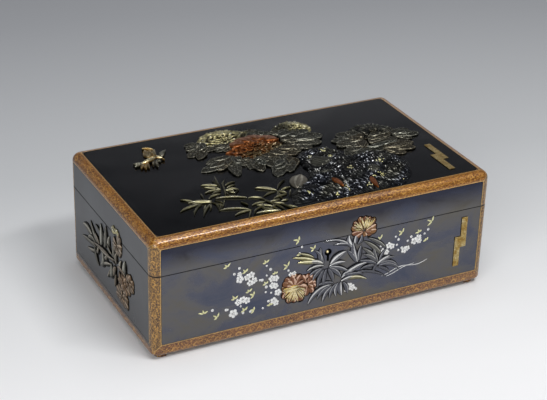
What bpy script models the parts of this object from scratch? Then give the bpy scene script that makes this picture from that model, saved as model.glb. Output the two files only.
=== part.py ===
"""Decorative box: a lacquered wooden box and lift-off lid with rounded edges, inset metal panels on
every side, and a picture in high relief on the lid: a garden rock with peonies, bamboo and a bird.
Metres, +Z up, front towards -Y, origin at the middle of the footprint, under the feet."""

import math

import bmesh
import bpy
from mathutils import Matrix

# Carcass
LENGTH = 0.285
DEPTH = 0.166
HEIGHT = 0.0955
WALL = 0.008
FLOOR = 0.0065
LID_TOP = 0.0065
LID_HEIGHT = 0.0288
EDGE_RADIUS = 0.0067
EDGE_STEPS = 5
BASE_RADIUS = 0.003
BASE_STEPS = 3
CAVITY_CORNER = 0.003
CORNER_STEPS = 4
MESH_GAP = 0.0003

# Lip on the box that keeps the lid in place
LIP_HEIGHT = 0.004
LIP_THICKNESS = 0.0028
LIP_CLEARANCE = 0.0004
LIP_ROOT = 0.002

# Feet under the corners
FOOT_HEIGHT = 0.0035
FOOT_INSET = 0.0045
FOOT_ARM = 0.008
FOOT_WIDTH = 0.006

# Metal panels
BORDER = 0.0073
BOTTOM_BORDER = 0.0097
PANEL_THICKNESS = 0.0009
PANEL_CORNER = 0.0015
TOP_PANEL_CORNER = 0.005

# Lock
KEYHOLE_DROP = 0.0104
KEYHOLE_RADIUS = 0.003
KEYHOLE_SLOT = 0.0075
KEYHOLE_SLOT_WIDTH = 0.002
KEYHOLE_DEPTH = 0.005
PIN_RADIUS = 0.0011
PIN_SETBACK = 0.0005

# Pictures. A place or size in a picture is in hundredths of the half height of the panel that it
# fills, as long as the panel is at least this many times as long as it is high.
TOP_ASPECT = 1.78
FRONT_ASPECT = 3.36
SIDE_ASPECT = 1.88

# Relief heights above the panels
ROCK_HEIGHT = 0.0056
LID_FLOWER_HEIGHT = 0.0062
LID_LEAF_HEIGHT = 0.0022
BAMBOO_HEIGHT = 0.0016
BIRD_HEIGHT = 0.0036
SIDE_FLOWER_HEIGHT = 0.0016
SIDE_LEAF_HEIGHT = 0.0010
BAR_HEIGHT = 0.0006
RELIEF_RIM = 0.0005

SEAM = FOOT_HEIGHT + HEIGHT - LID_HEIGHT
TOP = FOOT_HEIGHT + HEIGHT
PANEL_BOTTOM = FOOT_HEIGHT + BOTTOM_BORDER
PANEL_TOP = TOP - BORDER
RECESS_DEPTH = PANEL_THICKNESS + MESH_GAP

LACQUER = ("gold lacquer", (0.42, 0.19, 0.05), 0.35, 0.5)
DARK_METAL = ("patinated copper alloy", (0.045, 0.047, 0.055), 0.35, 0.9)
ROCK_METAL = ("black copper alloy", (0.03, 0.03, 0.035), 0.35, 0.9)
LEAF_METAL = ("grey silver alloy", (0.16, 0.16, 0.14), 0.35, 0.9)
GOLD = ("gold", (0.78, 0.57, 0.22), 0.3, 1.0)
PALE_GOLD = ("pale gold", (0.52, 0.47, 0.30), 0.3, 1.0)
COPPER = ("red copper", (0.40, 0.14, 0.07), 0.35, 1.0)
BRASS = ("brass", (0.6, 0.45, 0.2), 0.3, 1.0)


def clear_scene():
    for obj in list(bpy.data.objects):
        bpy.data.objects.remove(obj)


def collection(name):
    made = bpy.data.collections.new(name)
    bpy.context.scene.collection.children.link(made)
    return made


clear_scene()
PIECES = collection("Decorative box")
CUTTERS = collection("Cutters")
FACES = collection("Faces")


def material(look):
    name, colour, roughness, metallic = look
    found = bpy.data.materials.get(name)
    if found:
        return found
    made = bpy.data.materials.new(name)
    made.use_nodes = True
    shader = made.node_tree.nodes["Principled BSDF"]
    shader.inputs["Base Color"].default_value = (*colour, 1)
    shader.inputs["Roughness"].default_value = roughness
    shader.inputs["Metallic"].default_value = metallic
    return made


def piece(name, data, look, parent=None):
    """A visible sub-part."""
    obj = bpy.data.objects.new(name, data)
    obj.data.materials.append(material(look))
    PIECES.objects.link(obj)
    obj.parent = parent
    return obj


def cutter(name, data, parent=None):
    obj = bpy.data.objects.new(name, data)
    CUTTERS.objects.link(obj)
    obj.parent = parent
    obj.hide_render = True
    obj.display_type = "WIRE"
    return obj


def boolean(obj, operation, other):
    modifier = obj.modifiers.new(f"{operation.lower()} {other.name}", "BOOLEAN")
    modifier.operation = operation
    modifier.object = other


def mesh_of(name, build):
    """A mesh filled by build(bm), with its faces pointing out."""
    bm = bmesh.new()
    build(bm)
    bmesh.ops.recalc_face_normals(bm, faces=bm.faces)
    mesh = bpy.data.meshes.new(name)
    bm.to_mesh(mesh)
    bm.free()
    return mesh


def rounded_outline(left, right, low, high, radii):
    """Points of a rectangle with its own radius at each corner: low left, low right, high right,
    high left."""
    corners = ((left, low, 180), (right, low, 270), (right, high, 0), (left, high, 90))
    points = []
    for (x, y, start), radius in zip(corners, radii):
        if radius <= 0:
            points.append((x, y))
            continue
        centre_x = x + math.copysign(radius, (left + right) / 2 - x)
        centre_y = y + math.copysign(radius, (low + high) / 2 - y)
        for step in range(CORNER_STEPS + 1):
            angle = math.radians(start + 90 * step / CORNER_STEPS)
            points.append((centre_x + radius * math.cos(angle), centre_y + radius * math.sin(angle)))
    return points


def prism(name, outline, low, high):
    """A mesh of the outline carried from one height to another."""

    def build(bm):
        ring = [bm.verts.new((x, y, low)) for x, y in outline]
        face = bm.faces.new(ring)
        grown = bmesh.ops.extrude_face_region(bm, geom=[face])
        moved = [v for v in grown["geom"] if isinstance(v, bmesh.types.BMVert)]
        bmesh.ops.translate(bm, verts=moved, vec=(0, 0, high - low))

    return mesh_of(name, build)


def plate_curve(name, outlines, thickness):
    """A flat 2D curve of closed outlines, an outline inside another being a hole."""
    curve = bpy.data.curves.new(name, "CURVE")
    curve.dimensions = "2D"
    curve.fill_mode = "BOTH"
    curve.extrude = thickness / 2
    for outline in outlines:
        spline = curve.splines.new("POLY")
        spline.points.add(len(outline) - 1)
        for point, (x, y) in zip(spline.points, outline):
            point.co = (x, y, 0, 1)
        spline.use_cyclic_u = True
    return curve


# Faces. Each is an empty in the middle of a panel's surface: its X runs to the right for someone who
# looks at the face from outside, its Y up the picture, and its Z out of it.
SIDE_CENTRE = (PANEL_BOTTOM + PANEL_TOP) / 2
SIDE_HALF_HEIGHT = (PANEL_TOP - PANEL_BOTTOM) / 2
HALF_LENGTH = LENGTH / 2 - BORDER
HALF_DEPTH = DEPTH / 2 - BORDER


def face(name, place, rotation, half_width, half_height, aspect, corner=PANEL_CORNER):
    empty = bpy.data.objects.new(f"{name} face", None)
    FACES.objects.link(empty)
    empty.location = place
    empty.rotation_euler = [math.radians(angle) for angle in rotation]
    unit = min(half_width / aspect, half_height) / 100
    return {
        "name": name,
        "empty": empty,
        "half_width": half_width,
        "half_height": half_height,
        "unit": unit,
        "corner": corner,
    }


TOP_FACE = face("top", (0, 0, TOP), (0, 0, 0), HALF_LENGTH, HALF_DEPTH, TOP_ASPECT, TOP_PANEL_CORNER)
FRONT_FACE = face(
    "front", (0, -DEPTH / 2, SIDE_CENTRE), (90, 0, 0), HALF_LENGTH, SIDE_HALF_HEIGHT, FRONT_ASPECT
)
BACK_FACE = face(
    "back", (0, DEPTH / 2, SIDE_CENTRE), (90, 0, 180), HALF_LENGTH, SIDE_HALF_HEIGHT, FRONT_ASPECT
)
LEFT_FACE = face(
    "left", (-LENGTH / 2, 0, SIDE_CENTRE), (90, 0, -90), HALF_DEPTH, SIDE_HALF_HEIGHT, SIDE_ASPECT
)
RIGHT_FACE = face(
    "right", (LENGTH / 2, 0, SIDE_CENTRE), (90, 0, 90), HALF_DEPTH, SIDE_HALF_HEIGHT, SIDE_ASPECT
)
SIDE_FACES = (FRONT_FACE, BACK_FACE, LEFT_FACE, RIGHT_FACE)
SEAM_ON_FACE = SEAM - SIDE_CENTRE


# Carcass: box, lip, lid and recesses
def rounded_carcass(name):
    """The whole box with all of its edges rounded, those underneath less, before it is sawn into box
    and lid."""
    bm = bmesh.new()
    bmesh.ops.create_cube(bm, size=1)
    bmesh.ops.scale(bm, vec=(LENGTH, DEPTH, HEIGHT), verts=bm.verts)
    rounded = [edge for edge in bm.edges if any(v.co.z > 0 for v in edge.verts)]
    bmesh.ops.bevel(
        bm, geom=rounded, offset=EDGE_RADIUS, segments=EDGE_STEPS, profile=0.5, affect="EDGES"
    )
    base = min(bm.faces, key=lambda face: face.calc_center_median().z)
    bmesh.ops.bevel(
        bm, geom=list(base.edges), offset=BASE_RADIUS, segments=BASE_STEPS, profile=0.5, affect="EDGES"
    )
    bmesh.ops.translate(bm, verts=bm.verts, vec=(0, 0, FOOT_HEIGHT + HEIGHT / 2))
    bmesh.ops.recalc_face_normals(bm, faces=bm.faces)
    mesh = bpy.data.meshes.new(name)
    bm.to_mesh(mesh)
    bm.free()
    return mesh


def centred(half_x, half_y, radius):
    return rounded_outline(-half_x, half_x, -half_y, half_y, (radius,) * 4)


def make_recess_cutters():
    """One cutter for each panel, as deep as the panel and its gap, past the surface outside."""
    made = {}
    for side in (TOP_FACE, *SIDE_FACES):
        corner = side["corner"] + MESH_GAP
        outline = centred(side["half_width"] + MESH_GAP, side["half_height"] + MESH_GAP, corner)
        mesh = prism(f"{side['name']} recess", outline, -RECESS_DEPTH, BORDER)
        made[side["name"]] = cutter(mesh.name, mesh, side["empty"])
    return made


def keyhole_outline(centre_y, grow=0.0):
    """A round hole with a straight slot below it, as one outline."""
    radius = KEYHOLE_RADIUS + grow
    half_slot = KEYHOLE_SLOT_WIDTH / 2 + grow
    opening = math.asin(half_slot / radius)
    steps = 14
    start = -math.pi / 2 + opening
    turn = 2 * math.pi - 2 * opening
    points = [
        (radius * math.cos(start + turn * i / steps), centre_y + radius * math.sin(start + turn * i / steps))
        for i in range(steps + 1)
    ]
    foot = centre_y - KEYHOLE_SLOT - grow
    return points + [(-half_slot, foot), (half_slot, foot)]


def make_carcass():
    cavity_x = LENGTH / 2 - WALL
    cavity_y = DEPTH / 2 - WALL
    above = TOP + WALL
    around = centred(LENGTH, DEPTH, 0)
    below_seam = cutter("below the seam", prism("below the seam", around, -WALL, SEAM))
    above_seam = cutter("above the seam", prism("above the seam", around, SEAM + MESH_GAP, above))
    lip_outline = centred(cavity_x + LIP_THICKNESS, cavity_y + LIP_THICKNESS, CAVITY_CORNER + LIP_THICKNESS)
    lip = cutter("lip", prism("lip", lip_outline, SEAM - LIP_ROOT, SEAM + LIP_HEIGHT))
    reach = LIP_THICKNESS + LIP_CLEARANCE
    rebate_outline = centred(cavity_x + reach, cavity_y + reach, CAVITY_CORNER + reach)
    rebate_top = SEAM + LIP_HEIGHT + LIP_CLEARANCE
    rebate = cutter("rebate", prism("rebate", rebate_outline, SEAM - LIP_ROOT, rebate_top))
    cavity_outline = centred(cavity_x, cavity_y, CAVITY_CORNER)
    cavity = cutter("cavity", prism("cavity", cavity_outline, FOOT_HEIGHT + FLOOR, TOP - LID_TOP))
    recesses = make_recess_cutters()
    keyhole_place = SEAM_ON_FACE - KEYHOLE_DROP
    lock_pocket = cutter(
        "lock pocket",
        prism("lock pocket", keyhole_outline(keyhole_place, MESH_GAP), -KEYHOLE_DEPTH, BORDER),
        FRONT_FACE["empty"],
    )

    box = piece("box_body", rounded_carcass("box_body"), LACQUER)
    boolean(box, "INTERSECT", below_seam)
    boolean(box, "UNION", lip)
    boolean(box, "DIFFERENCE", cavity)
    lid = piece("lid", rounded_carcass("lid"), LACQUER)
    boolean(lid, "INTERSECT", above_seam)
    boolean(lid, "DIFFERENCE", cavity)
    boolean(lid, "DIFFERENCE", rebate)
    for side in SIDE_FACES:
        boolean(box, "DIFFERENCE", recesses[side["name"]])
        boolean(lid, "DIFFERENCE", recesses[side["name"]])
    boolean(lid, "DIFFERENCE", recesses["top"])
    boolean(box, "DIFFERENCE", lock_pocket)


def make_panels():
    """Nine sheets of metal, flush with the lacquer, those of the sides parted at the seam."""
    top = TOP_FACE
    outline = centred(top["half_width"], top["half_height"], top["corner"])
    plate = piece("top_panel", plate_curve("top_panel", [outline], PANEL_THICKNESS), DARK_METAL, top["empty"])
    plate.location.z = -PANEL_THICKNESS / 2
    for side in SIDE_FACES:
        across, up = side["half_width"], side["half_height"]
        lower = rounded_outline(-across, across, -up, SEAM_ON_FACE, (PANEL_CORNER, PANEL_CORNER, 0, 0))
        upper = rounded_outline(
            -across, across, SEAM_ON_FACE + MESH_GAP, up, (0, 0, PANEL_CORNER, PANEL_CORNER)
        )
        holes = [keyhole_outline(SEAM_ON_FACE - KEYHOLE_DROP)] if side is FRONT_FACE else []
        for level, outlines in (("lower", [lower, *holes]), ("upper", [upper])):
            name = f"{side['name']}_panel_{level}"
            plate = piece(name, plate_curve(name, outlines, PANEL_THICKNESS), DARK_METAL, side["empty"])
            plate.location.z = -PANEL_THICKNESS / 2


def make_lock_pin():
    """The brass pin that a pipe key slips over, standing in the keyhole."""
    root = -KEYHOLE_DEPTH + MESH_GAP
    length = -PIN_SETBACK - root

    def build(bm):
        bmesh.ops.create_cone(
            bm, cap_ends=True, segments=16, radius1=PIN_RADIUS, radius2=PIN_RADIUS, depth=length
        )

    pin = piece("lock_pin", mesh_of("lock_pin", build), BRASS, FRONT_FACE["empty"])
    pin.location = (0, SEAM_ON_FACE - KEYHOLE_DROP, root + length / 2)


def make_feet():
    """A bracket foot under each corner: two arms that meet at a rounded outer corner."""
    arm, width, radius = FOOT_ARM, FOOT_WIDTH, EDGE_RADIUS - FOOT_INSET / 2
    arc = [
        (
            radius - radius * math.cos(math.radians(90 * step / CORNER_STEPS)),
            radius - radius * math.sin(math.radians(90 * step / CORNER_STEPS)),
        )
        for step in range(CORNER_STEPS + 1)
    ]
    outline = [(width, width), (width, arm), (0, arm), *arc, (arm, 0), (arm, width)]
    for depth_name, front in (("front", 1), ("back", -1)):
        for side_name, left in (("left", 1), ("right", -1)):
            points = [(left * x, front * y) for x, y in outline]
            name = f"foot_{depth_name}_{side_name}"
            foot = piece(name, prism(name, points, 0, FOOT_HEIGHT - MESH_GAP), LACQUER)
            foot.location = (-left * (LENGTH / 2 - FOOT_INSET), -front * (DEPTH / 2 - FOOT_INSET), 0)


# Relief. Every carving is a closed solid on a flat back: its outline and its surface are functions of
# the angle round a middle point and of the share of the way from there to the outline.
def carved(bm, angles, radius, height, rings):
    """Adds a carving with rings of points, one point of each ring at each angle."""
    middle = bm.verts.new((0, 0, height(0.0, 0.0)))
    inner = None
    for ring in range(1, rings + 1):
        share = ring / rings
        points = []
        for angle in angles:
            reach = radius(angle) * share
            points.append(
                bm.verts.new((reach * math.cos(angle), reach * math.sin(angle), height(share, angle)))
            )
        for i, point in enumerate(points):
            after = (i + 1) % len(points)
            if inner is None:
                bm.faces.new((middle, point, points[after]))
            else:
                bm.faces.new((inner[i], point, points[after], inner[after]))
        inner = points
    back = [bm.verts.new((v.co.x, v.co.y, 0)) for v in inner]
    for i, point in enumerate(inner):
        after = (i + 1) % len(inner)
        bm.faces.new((point, back[i], back[after], inner[after]))
    bm.faces.new(list(reversed(back)))


def place_on(obj, side, across, up, turn=0.0):
    unit = side["unit"]
    obj.location = (across * unit, up * unit, MESH_GAP)
    obj.rotation_euler.z = math.radians(turn)


def even_angles(count):
    return [2 * math.pi * i / count for i in range(count)]


def smooth_radius(stations):
    """A closed outline through (degrees, radius) stations, eased from each to the next."""
    ordered = sorted((math.radians(angle) % (2 * math.pi), size) for angle, size in stations)

    def radius(angle):
        angle %= 2 * math.pi
        for i, (start, size) in enumerate(ordered):
            end, after = ordered[(i + 1) % len(ordered)]
            span = (end - start) % (2 * math.pi)
            into = (angle - start) % (2 * math.pi)
            if into <= span:
                share = into / span
                return size + (after - size) * share * share * (3 - 2 * share)
        return ordered[0][1]

    return radius


def make_flower(
    name, side, across, up, half_width, half_height, peak, look, turn=0.0, layers=3, around=9
):
    """A full double flower: layers of petals, each petal hollow with a raised lip, on a dome."""
    unit = side["unit"]
    sectors = around * 3
    rings = layers * 2

    def radius(angle):
        oval = half_width * half_height / math.hypot(
            half_height * math.cos(angle), half_width * math.sin(angle)
        )
        return unit * oval * (0.9 + 0.1 * abs(math.cos(around * angle / 2)))

    def height(share, angle):
        layer = min(int(share * layers * 0.999), layers - 1)
        into = share * layers - layer
        petal = abs(math.cos((around - layer) * angle / 2 + layer))
        dome = math.sqrt(max(0.0, 1 - 0.85 * share * share))
        lip = 0.24 * into * (0.35 + 0.65 * petal) * (1 - 0.3 * share)
        if share >= 1:
            return RELIEF_RIM + (peak - RELIEF_RIM) * 0.18 * petal
        return RELIEF_RIM + (peak - RELIEF_RIM) * (0.76 * dome + lip * (1 if share > 0 else 0))

    def build(bm):
        carved(bm, even_angles(sectors), radius, height, rings)

    flower = piece(name, mesh_of(name, build), look, side["empty"])
    place_on(flower, side, across, up, turn)
    return flower


def make_blades(name, side, across, up, blades, hub, crown, look):
    """A leaf or a spray: pointed blades (degrees, length, half width) about one point, each with a
    raised rib. Lengths are in hundredths of the picture's half height. A blade is never wider than the
    room that its neighbours leave."""
    unit = side["unit"]
    ordered = sorted(blades, key=lambda blade: blade[0] % 360)
    tips = [math.radians(blade[0] % 360) for blade in ordered]
    rooms = [((tips[(i + 1) % len(tips)] - tip) % (2 * math.pi)) / 2 for i, tip in enumerate(tips)]
    outline = []
    for i, (tip, (_, length, half_width)) in enumerate(zip(tips, ordered)):
        for along, width, share, room in (
            (0.45, half_width, 0.8, -rooms[i - 1]),
            (0.76, half_width * 0.7, 0.45, -rooms[i - 1]),
            (1, 0, 0, 0),
            (0.76, half_width * 0.7, 0.45, rooms[i]),
            (0.45, half_width, 0.8, rooms[i]),
        ):
            turned = min(math.atan2(width, along * length), share * abs(room))
            reach = unit * along * length / math.cos(turned)
            outline.append((tip + math.copysign(turned, room), reach, 1 if width == 0 else 0.3))
        outline.append((tip + rooms[i], unit * hub, 0.3))
    by_angle = {angle: (reach, rib) for angle, reach, rib in outline}

    def radius(angle):
        return by_angle[angle][0]

    def height(share, angle):
        if share == 0:
            return crown
        taper = 1 - share * share
        return RELIEF_RIM + (crown - RELIEF_RIM) * (0.25 + 0.75 * by_angle[angle][1]) * taper

    def build(bm):
        carved(bm, [angle for angle, _, _ in outline], radius, height, 2)

    spray = piece(name, mesh_of(name, build), look, side["empty"])
    place_on(spray, side, across, up)
    return spray


def make_rock(name, side, across, up, stations, pits, peak, look):
    """A weathered garden rock: a swollen outline, water-worn ridges and deep pits."""
    unit = side["unit"]
    outline = smooth_radius(stations)

    def height(share, angle):
        reach = outline(angle) * share
        x, y = reach * math.cos(angle), reach * math.sin(angle)
        ridges = 0.5 + 0.5 * math.sin(x / 7 + 2.2 * math.sin(y / 13)) * math.cos(y / 9 - x / 17)
        dome = (1 - share**4) ** 0.5
        worn = 1.0
        for pit_x, pit_y, pit_size in pits:
            away = math.hypot(x - pit_x, y - pit_y) / pit_size
            worn -= 0.75 * math.exp(-away * away)
        return RELIEF_RIM + (peak - RELIEF_RIM) * dome * (0.62 + 0.38 * ridges) * max(worn, 0.1)

    def build(bm):
        carved(bm, even_angles(40), lambda angle: unit * outline(angle), height, 8)

    rock = piece(name, mesh_of(name, build), look, side["empty"])
    place_on(rock, side, across, up)
    return rock


def make_lid_picture():
    """Rock, peonies, bamboo and bird, inlaid in the top panel as pieces of different metals."""
    top = TOP_FACE
    make_rock(
        "garden_rock",
        top,
        46,
        -50,
        (
            (11, 73), (19, 74), (27, 65), (43, 46), (54, 38), (68, 51), (86, 62), (103, 60),
            (119, 56), (136, 42), (152, 34), (168, 34), (185, 41), (193, 62), (201, 78), (209, 87),
            (222, 68), (240, 56), (270, 48), (300, 54), (317, 67), (342, 72), (356, 75),
        ),
        ((-18, 20, 7), (14, 2, 9), (48, -4, 8), (-30, -14, 6), (30, -22, 6), (-2, 36, 6)),
        ROCK_HEIGHT,
        ROCK_METAL,
    )
    flower = LID_FLOWER_HEIGHT
    make_flower("red_peony", top, -9, 42, 34, 23, flower, COPPER, 8)
    make_flower("gold_peony_left", top, -31, 81, 26, 14, flower * 0.8, GOLD, 4, 2, 8)
    make_flower("gold_peony_right", top, 45, 72, 23, 17, flower * 0.8, GOLD, 10, 2, 8)
    make_flower("grey_peony", top, 128, 32, 25, 18, flower * 0.9, LEAF_METAL, -12, 3, 9)
    leaf = LID_LEAF_HEIGHT
    make_blades(
        "leaf_far_left", top, -70, 64,
        ((212, 16, 5), (252, 24, 5), (150, 12, 5), (75, 12, 5), (312, 14, 4)), 5, leaf, LEAF_METAL,
    )
    make_blades(
        "leaf_between", top, 8, 78,
        ((200, 9, 4), (255, 10, 4), (330, 9, 4), (40, 10, 4), (100, 9, 4)), 4, leaf, LEAF_METAL,
    )
    make_blades(
        "leaf_lower_left", top, -60, 18,
        ((190, 22, 6), (303, 34, 6), (250, 12, 5), (30, 12, 5), (100, 11, 5)), 5, leaf, LEAF_METAL,
    )
    make_blades(
        "leaf_lower_middle", top, -22, 4,
        ((270, 20, 5), (222, 15, 5), (310, 16, 5), (150, 12, 5), (50, 10, 4)), 4, leaf, LEAF_METAL,
    )
    make_blades(
        "leaf_below", top, 2, -2,
        ((250, 26, 6), (200, 12, 4), (285, 12, 4), (350, 12, 4), (60, 14, 5), (120, 12, 4)),
        4, leaf, LEAF_METAL,
    )
    make_blades(
        "leaf_right", top, 48, 38,
        ((10, 22, 6), (325, 20, 5), (55, 14, 5), (125, 10, 4), (185, 16, 5), (220, 34, 7), (268, 20, 6)),
        5, leaf, LEAF_METAL,
    )
    make_blades(
        "leaf_middle_right", top, 86, 12,
        ((75, 24, 7), (115, 20, 6), (170, 15, 5), (215, 18, 5), (262, 18, 5), (15, 12, 5)),
        6, leaf, LEAF_METAL,
    )
    make_blades(
        "leaf_far_right", top, 158, 8,
        ((335, 13, 5), (20, 12, 4), (75, 9, 4), (150, 9, 4), (240, 9, 4)), 4, leaf, LEAF_METAL,
    )
    make_blades(
        "leaf_low_right", top, 132, -14,
        ((338, 20, 7), (5, 16, 5), (50, 12, 5), (120, 12, 5), (175, 26, 6), (250, 10, 4), (300, 12, 5)),
        6, leaf, LEAF_METAL,
    )
    make_blades(
        "grey_stone_leaf", top, -3, -46, ((237, 14, 4), (68, 12, 6), (290, 7, 4)), 6, leaf, LEAF_METAL
    )
    bamboo = BAMBOO_HEIGHT
    make_blades(
        "bamboo_upper", top, -84, -32,
        ((78, 26, 3), (38, 22, 3), (3, 16, 3), (128, 20, 3), (200, 16, 3), (318, 18, 3), (262, 12, 2.5)),
        3.5, bamboo, PALE_GOLD,
    )
    make_blades(
        "bamboo_left", top, -106, -54,
        ((125, 24, 3), (172, 34, 3), (198, 33, 3), (232, 28, 3), (262, 20, 3), (310, 12, 3), (8, 12, 2.5)),
        3, bamboo, PALE_GOLD,
    )
    make_blades(
        "bamboo_right", top, -33, -58,
        ((112, 24, 3), (60, 32, 3), (20, 14, 3), (160, 17, 3), (205, 14, 3), (300, 10, 3)),
        3, bamboo, PALE_GOLD,
    )
    make_blades(
        "bamboo_low", top, -52, -84,
        ((82, 14, 3), (128, 14, 3), (165, 42, 3), (188, 28, 3), (20, 18, 3), (340, 18, 3)),
        3, bamboo, PALE_GOLD,
    )
    make_bird(top, -118, 60, 24)
    make_stepped_bar("stepped_bar_top", top, 157.5, -58, 36.9, 6.9, 13)


def make_bird(side, across, up, heading):
    """A small bird on the wing: body, head, beak, tail and wings, cast in one."""
    unit = side["unit"]
    rise = BIRD_HEIGHT / 2

    def lump_mesh(name, place, sizes, turn=0.0):
        def build(bm):
            made = bmesh.ops.create_uvsphere(bm, u_segments=8, v_segments=5, radius=1)["verts"]
            bmesh.ops.scale(bm, vec=(sizes[0] * unit, sizes[1] * unit, sizes[2]), verts=made)
            turned = Matrix.Rotation(math.radians(turn), 3, "Z")
            bmesh.ops.rotate(bm, verts=made, cent=(0, 0, 0), matrix=turned)
            bmesh.ops.translate(bm, verts=made, vec=(place[0] * unit, place[1] * unit, place[2]))

        return mesh_of(name, build)

    bird = piece("bird", lump_mesh("bird", (0, 0, rise), (11, 5, rise * 0.95)), GOLD, side["empty"])
    place_on(bird, side, across, up, heading)
    parts = (
        ("head", (11, 1, rise), (5, 4.2, rise * 0.8), 0),
        ("beak", (16.5, 0, rise), (3, 1.2, rise * 0.3), 0),
        ("tail", (-14, -1, rise * 0.8), (8, 2.6, rise * 0.4), 8),
        ("near wing", (-3, -7, rise * 0.9), (10, 4, rise * 0.5), 28),
        ("far wing", (1, 12, rise * 1.0), (4, 13, rise * 0.5), 18),
        ("raised wing", (8, 9, rise * 1.1), (3.2, 10, rise * 0.4), -22),
    )
    for name, place, sizes, turn in parts:
        other = cutter(f"bird {name}", lump_mesh(f"bird {name}", place, sizes, turn), side["empty"])
        place_on(other, side, across, up, heading)
        boolean(bird, "UNION", other)


def make_stepped_bar(name, side, across, up, length, width, overlap):
    """Two upright gold bars side by side, one a step lower than the other, in one piece."""
    unit = side["unit"]
    long, wide, over = length * unit, width * unit, overlap * unit / 2
    outline = [
        (0, long - over), (0, over), (-wide, over), (-wide, over - long), (0, over - long), (0, -over),
        (wide, -over), (wide, long - over),
    ]
    bar = piece(name, prism(name, outline, 0, BAR_HEIGHT - MESH_GAP), GOLD, side["empty"])
    place_on(bar, side, across, up)


def saws(side):
    """Two blocks, above and below the seam, that keep a carving on its own side of the lid's edge."""
    across, reach, name = side["half_width"], 2 * side["half_height"], side["name"]
    above = centred(across, reach, 0)
    below = [(x, y + SEAM_ON_FACE + MESH_GAP - reach) for x, y in above]
    above = [(x, y + SEAM_ON_FACE + reach) for x, y in above]
    return (
        cutter(f"{name} above seam", prism(f"{name} above seam", above, -WALL, WALL), side["empty"]),
        cutter(f"{name} below seam", prism(f"{name} below seam", below, -WALL, WALL), side["empty"]),
    )


def make_front_picture(side, prefix):
    """Two peonies and their leaves round the keyhole, in low relief. The upper peony is on the lid and
    hangs over its edge. Heights are measured from the seam."""
    seam = SEAM_ON_FACE / side["unit"]
    leaf = SIDE_LEAF_HEIGHT
    flower = SIDE_FLOWER_HEIGHT
    make_flower(f"{prefix}_peony_low", side, -71, seam - 86, 26, 25, flower, COPPER, 0, 2, 8)
    make_flower(f"{prefix}_petals_low", side, -34, seam - 86, 10, 17, flower * 0.7, COPPER, 0, 2, 5)
    make_flower(f"{prefix}_peony_high", side, 75, seam + 16, 27, 22, flower, COPPER, -20, 2, 8)
    make_blades(
        f"{prefix}_leaves_left", side, -4, seam - 57,
        ((153, 72, 8), (176, 44, 8), (119, 54, 5), (27, 42, 8), (358, 34, 7), (218, 22, 6), (290, 14, 5)),
        7, leaf, LEAF_METAL,
    )
    make_blades(
        f"{prefix}_leaves_low", side, 14, seam - 109,
        ((206, 52, 8), (240, 30, 7), (290, 24, 7), (332, 36, 8), (26, 64, 9), (62, 40, 7), (152, 22, 6)),
        8, leaf, LEAF_METAL,
    )
    make_blades(
        f"{prefix}_leaves_right", side, 106, seam - 72,
        ((2, 40, 8), (325, 42, 8), (130, 66, 8), (104, 48, 7), (78, 42, 8), (42, 42, 7), (172, 40, 7)),
        8, leaf, LEAF_METAL,
    )


def make_back_picture(side, prefix):
    """One peony and its leaves."""
    seam = SEAM_ON_FACE / side["unit"]
    make_flower(f"{prefix}_peony", side, -40, seam - 76, 27, 25, SIDE_FLOWER_HEIGHT, COPPER, 0, 2, 8)
    make_blades(
        f"{prefix}_leaves", side, 24, seam - 84,
        ((20, 62, 9), (50, 52, 8), (348, 54, 8), (310, 34, 8), (95, 36, 8), (180, 34, 8), (235, 44, 8)),
        8, SIDE_LEAF_HEIGHT, LEAF_METAL,
    )


def make_end_picture(side, prefix, full):
    """A flowering spray on an end of the box, with a bud on the lid above it."""
    seam = SEAM_ON_FACE / side["unit"]
    leaf = SIDE_LEAF_HEIGHT
    flower = SIDE_FLOWER_HEIGHT
    make_blades(
        f"{prefix}_leaves_back", side, -66, seam - 60,
        (
            (176, 76, 8), (197, 74, 6), (150, 50, 8), (122, 52, 7), (95, 54, 7), (236, 46, 7),
            (268, 46, 8), (312, 30, 7),
        ),
        7, leaf, ROCK_METAL,
    )
    make_flower(f"{prefix}_flower_low", side, 58, seam - 102, 26, 25, flower, COPPER, 0, 2, 8)
    if not full:
        return
    above, below = saws(side)
    high = make_flower(f"{prefix}_flower_high", side, 34, seam - 7, 22, 24, flower, COPPER, 0, 2, 8)
    boolean(high, "DIFFERENCE", above)
    bud = make_flower(f"{prefix}_bud_high", side, 30, seam + 3, 20, 18, flower, GOLD, 0, 2, 6)
    boolean(bud, "DIFFERENCE", below)
    make_flower(f"{prefix}_flower_front", side, 103, seam - 66, 15, 22, flower, COPPER, 0, 2, 6)
    make_blades(
        f"{prefix}_leaves_front", side, 22, seam - 58,
        ((258, 40, 7), (215, 40, 6), (118, 28, 6), (75, 24, 5), (318, 22, 6), (12, 50, 6)),
        7, leaf, ROCK_METAL,
    )


make_carcass()
make_panels()
make_lock_pin()
make_feet()
make_lid_picture()
make_front_picture(FRONT_FACE, "front")
make_stepped_bar("stepped_bar_front", FRONT_FACE, 302, -25, 66, 13.1, 24)
make_end_picture(LEFT_FACE, "left", True)
make_end_picture(RIGHT_FACE, "right", False)
make_back_picture(BACK_FACE, "back")
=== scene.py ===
"""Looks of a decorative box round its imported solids: a lacquered carcass with inset panels of dark
metal, and a garden picture in high relief on the lid. Metres, +Z up, front towards -Y."""

import bmesh
import bpy
import numpy as np
from mathutils import Matrix


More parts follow.
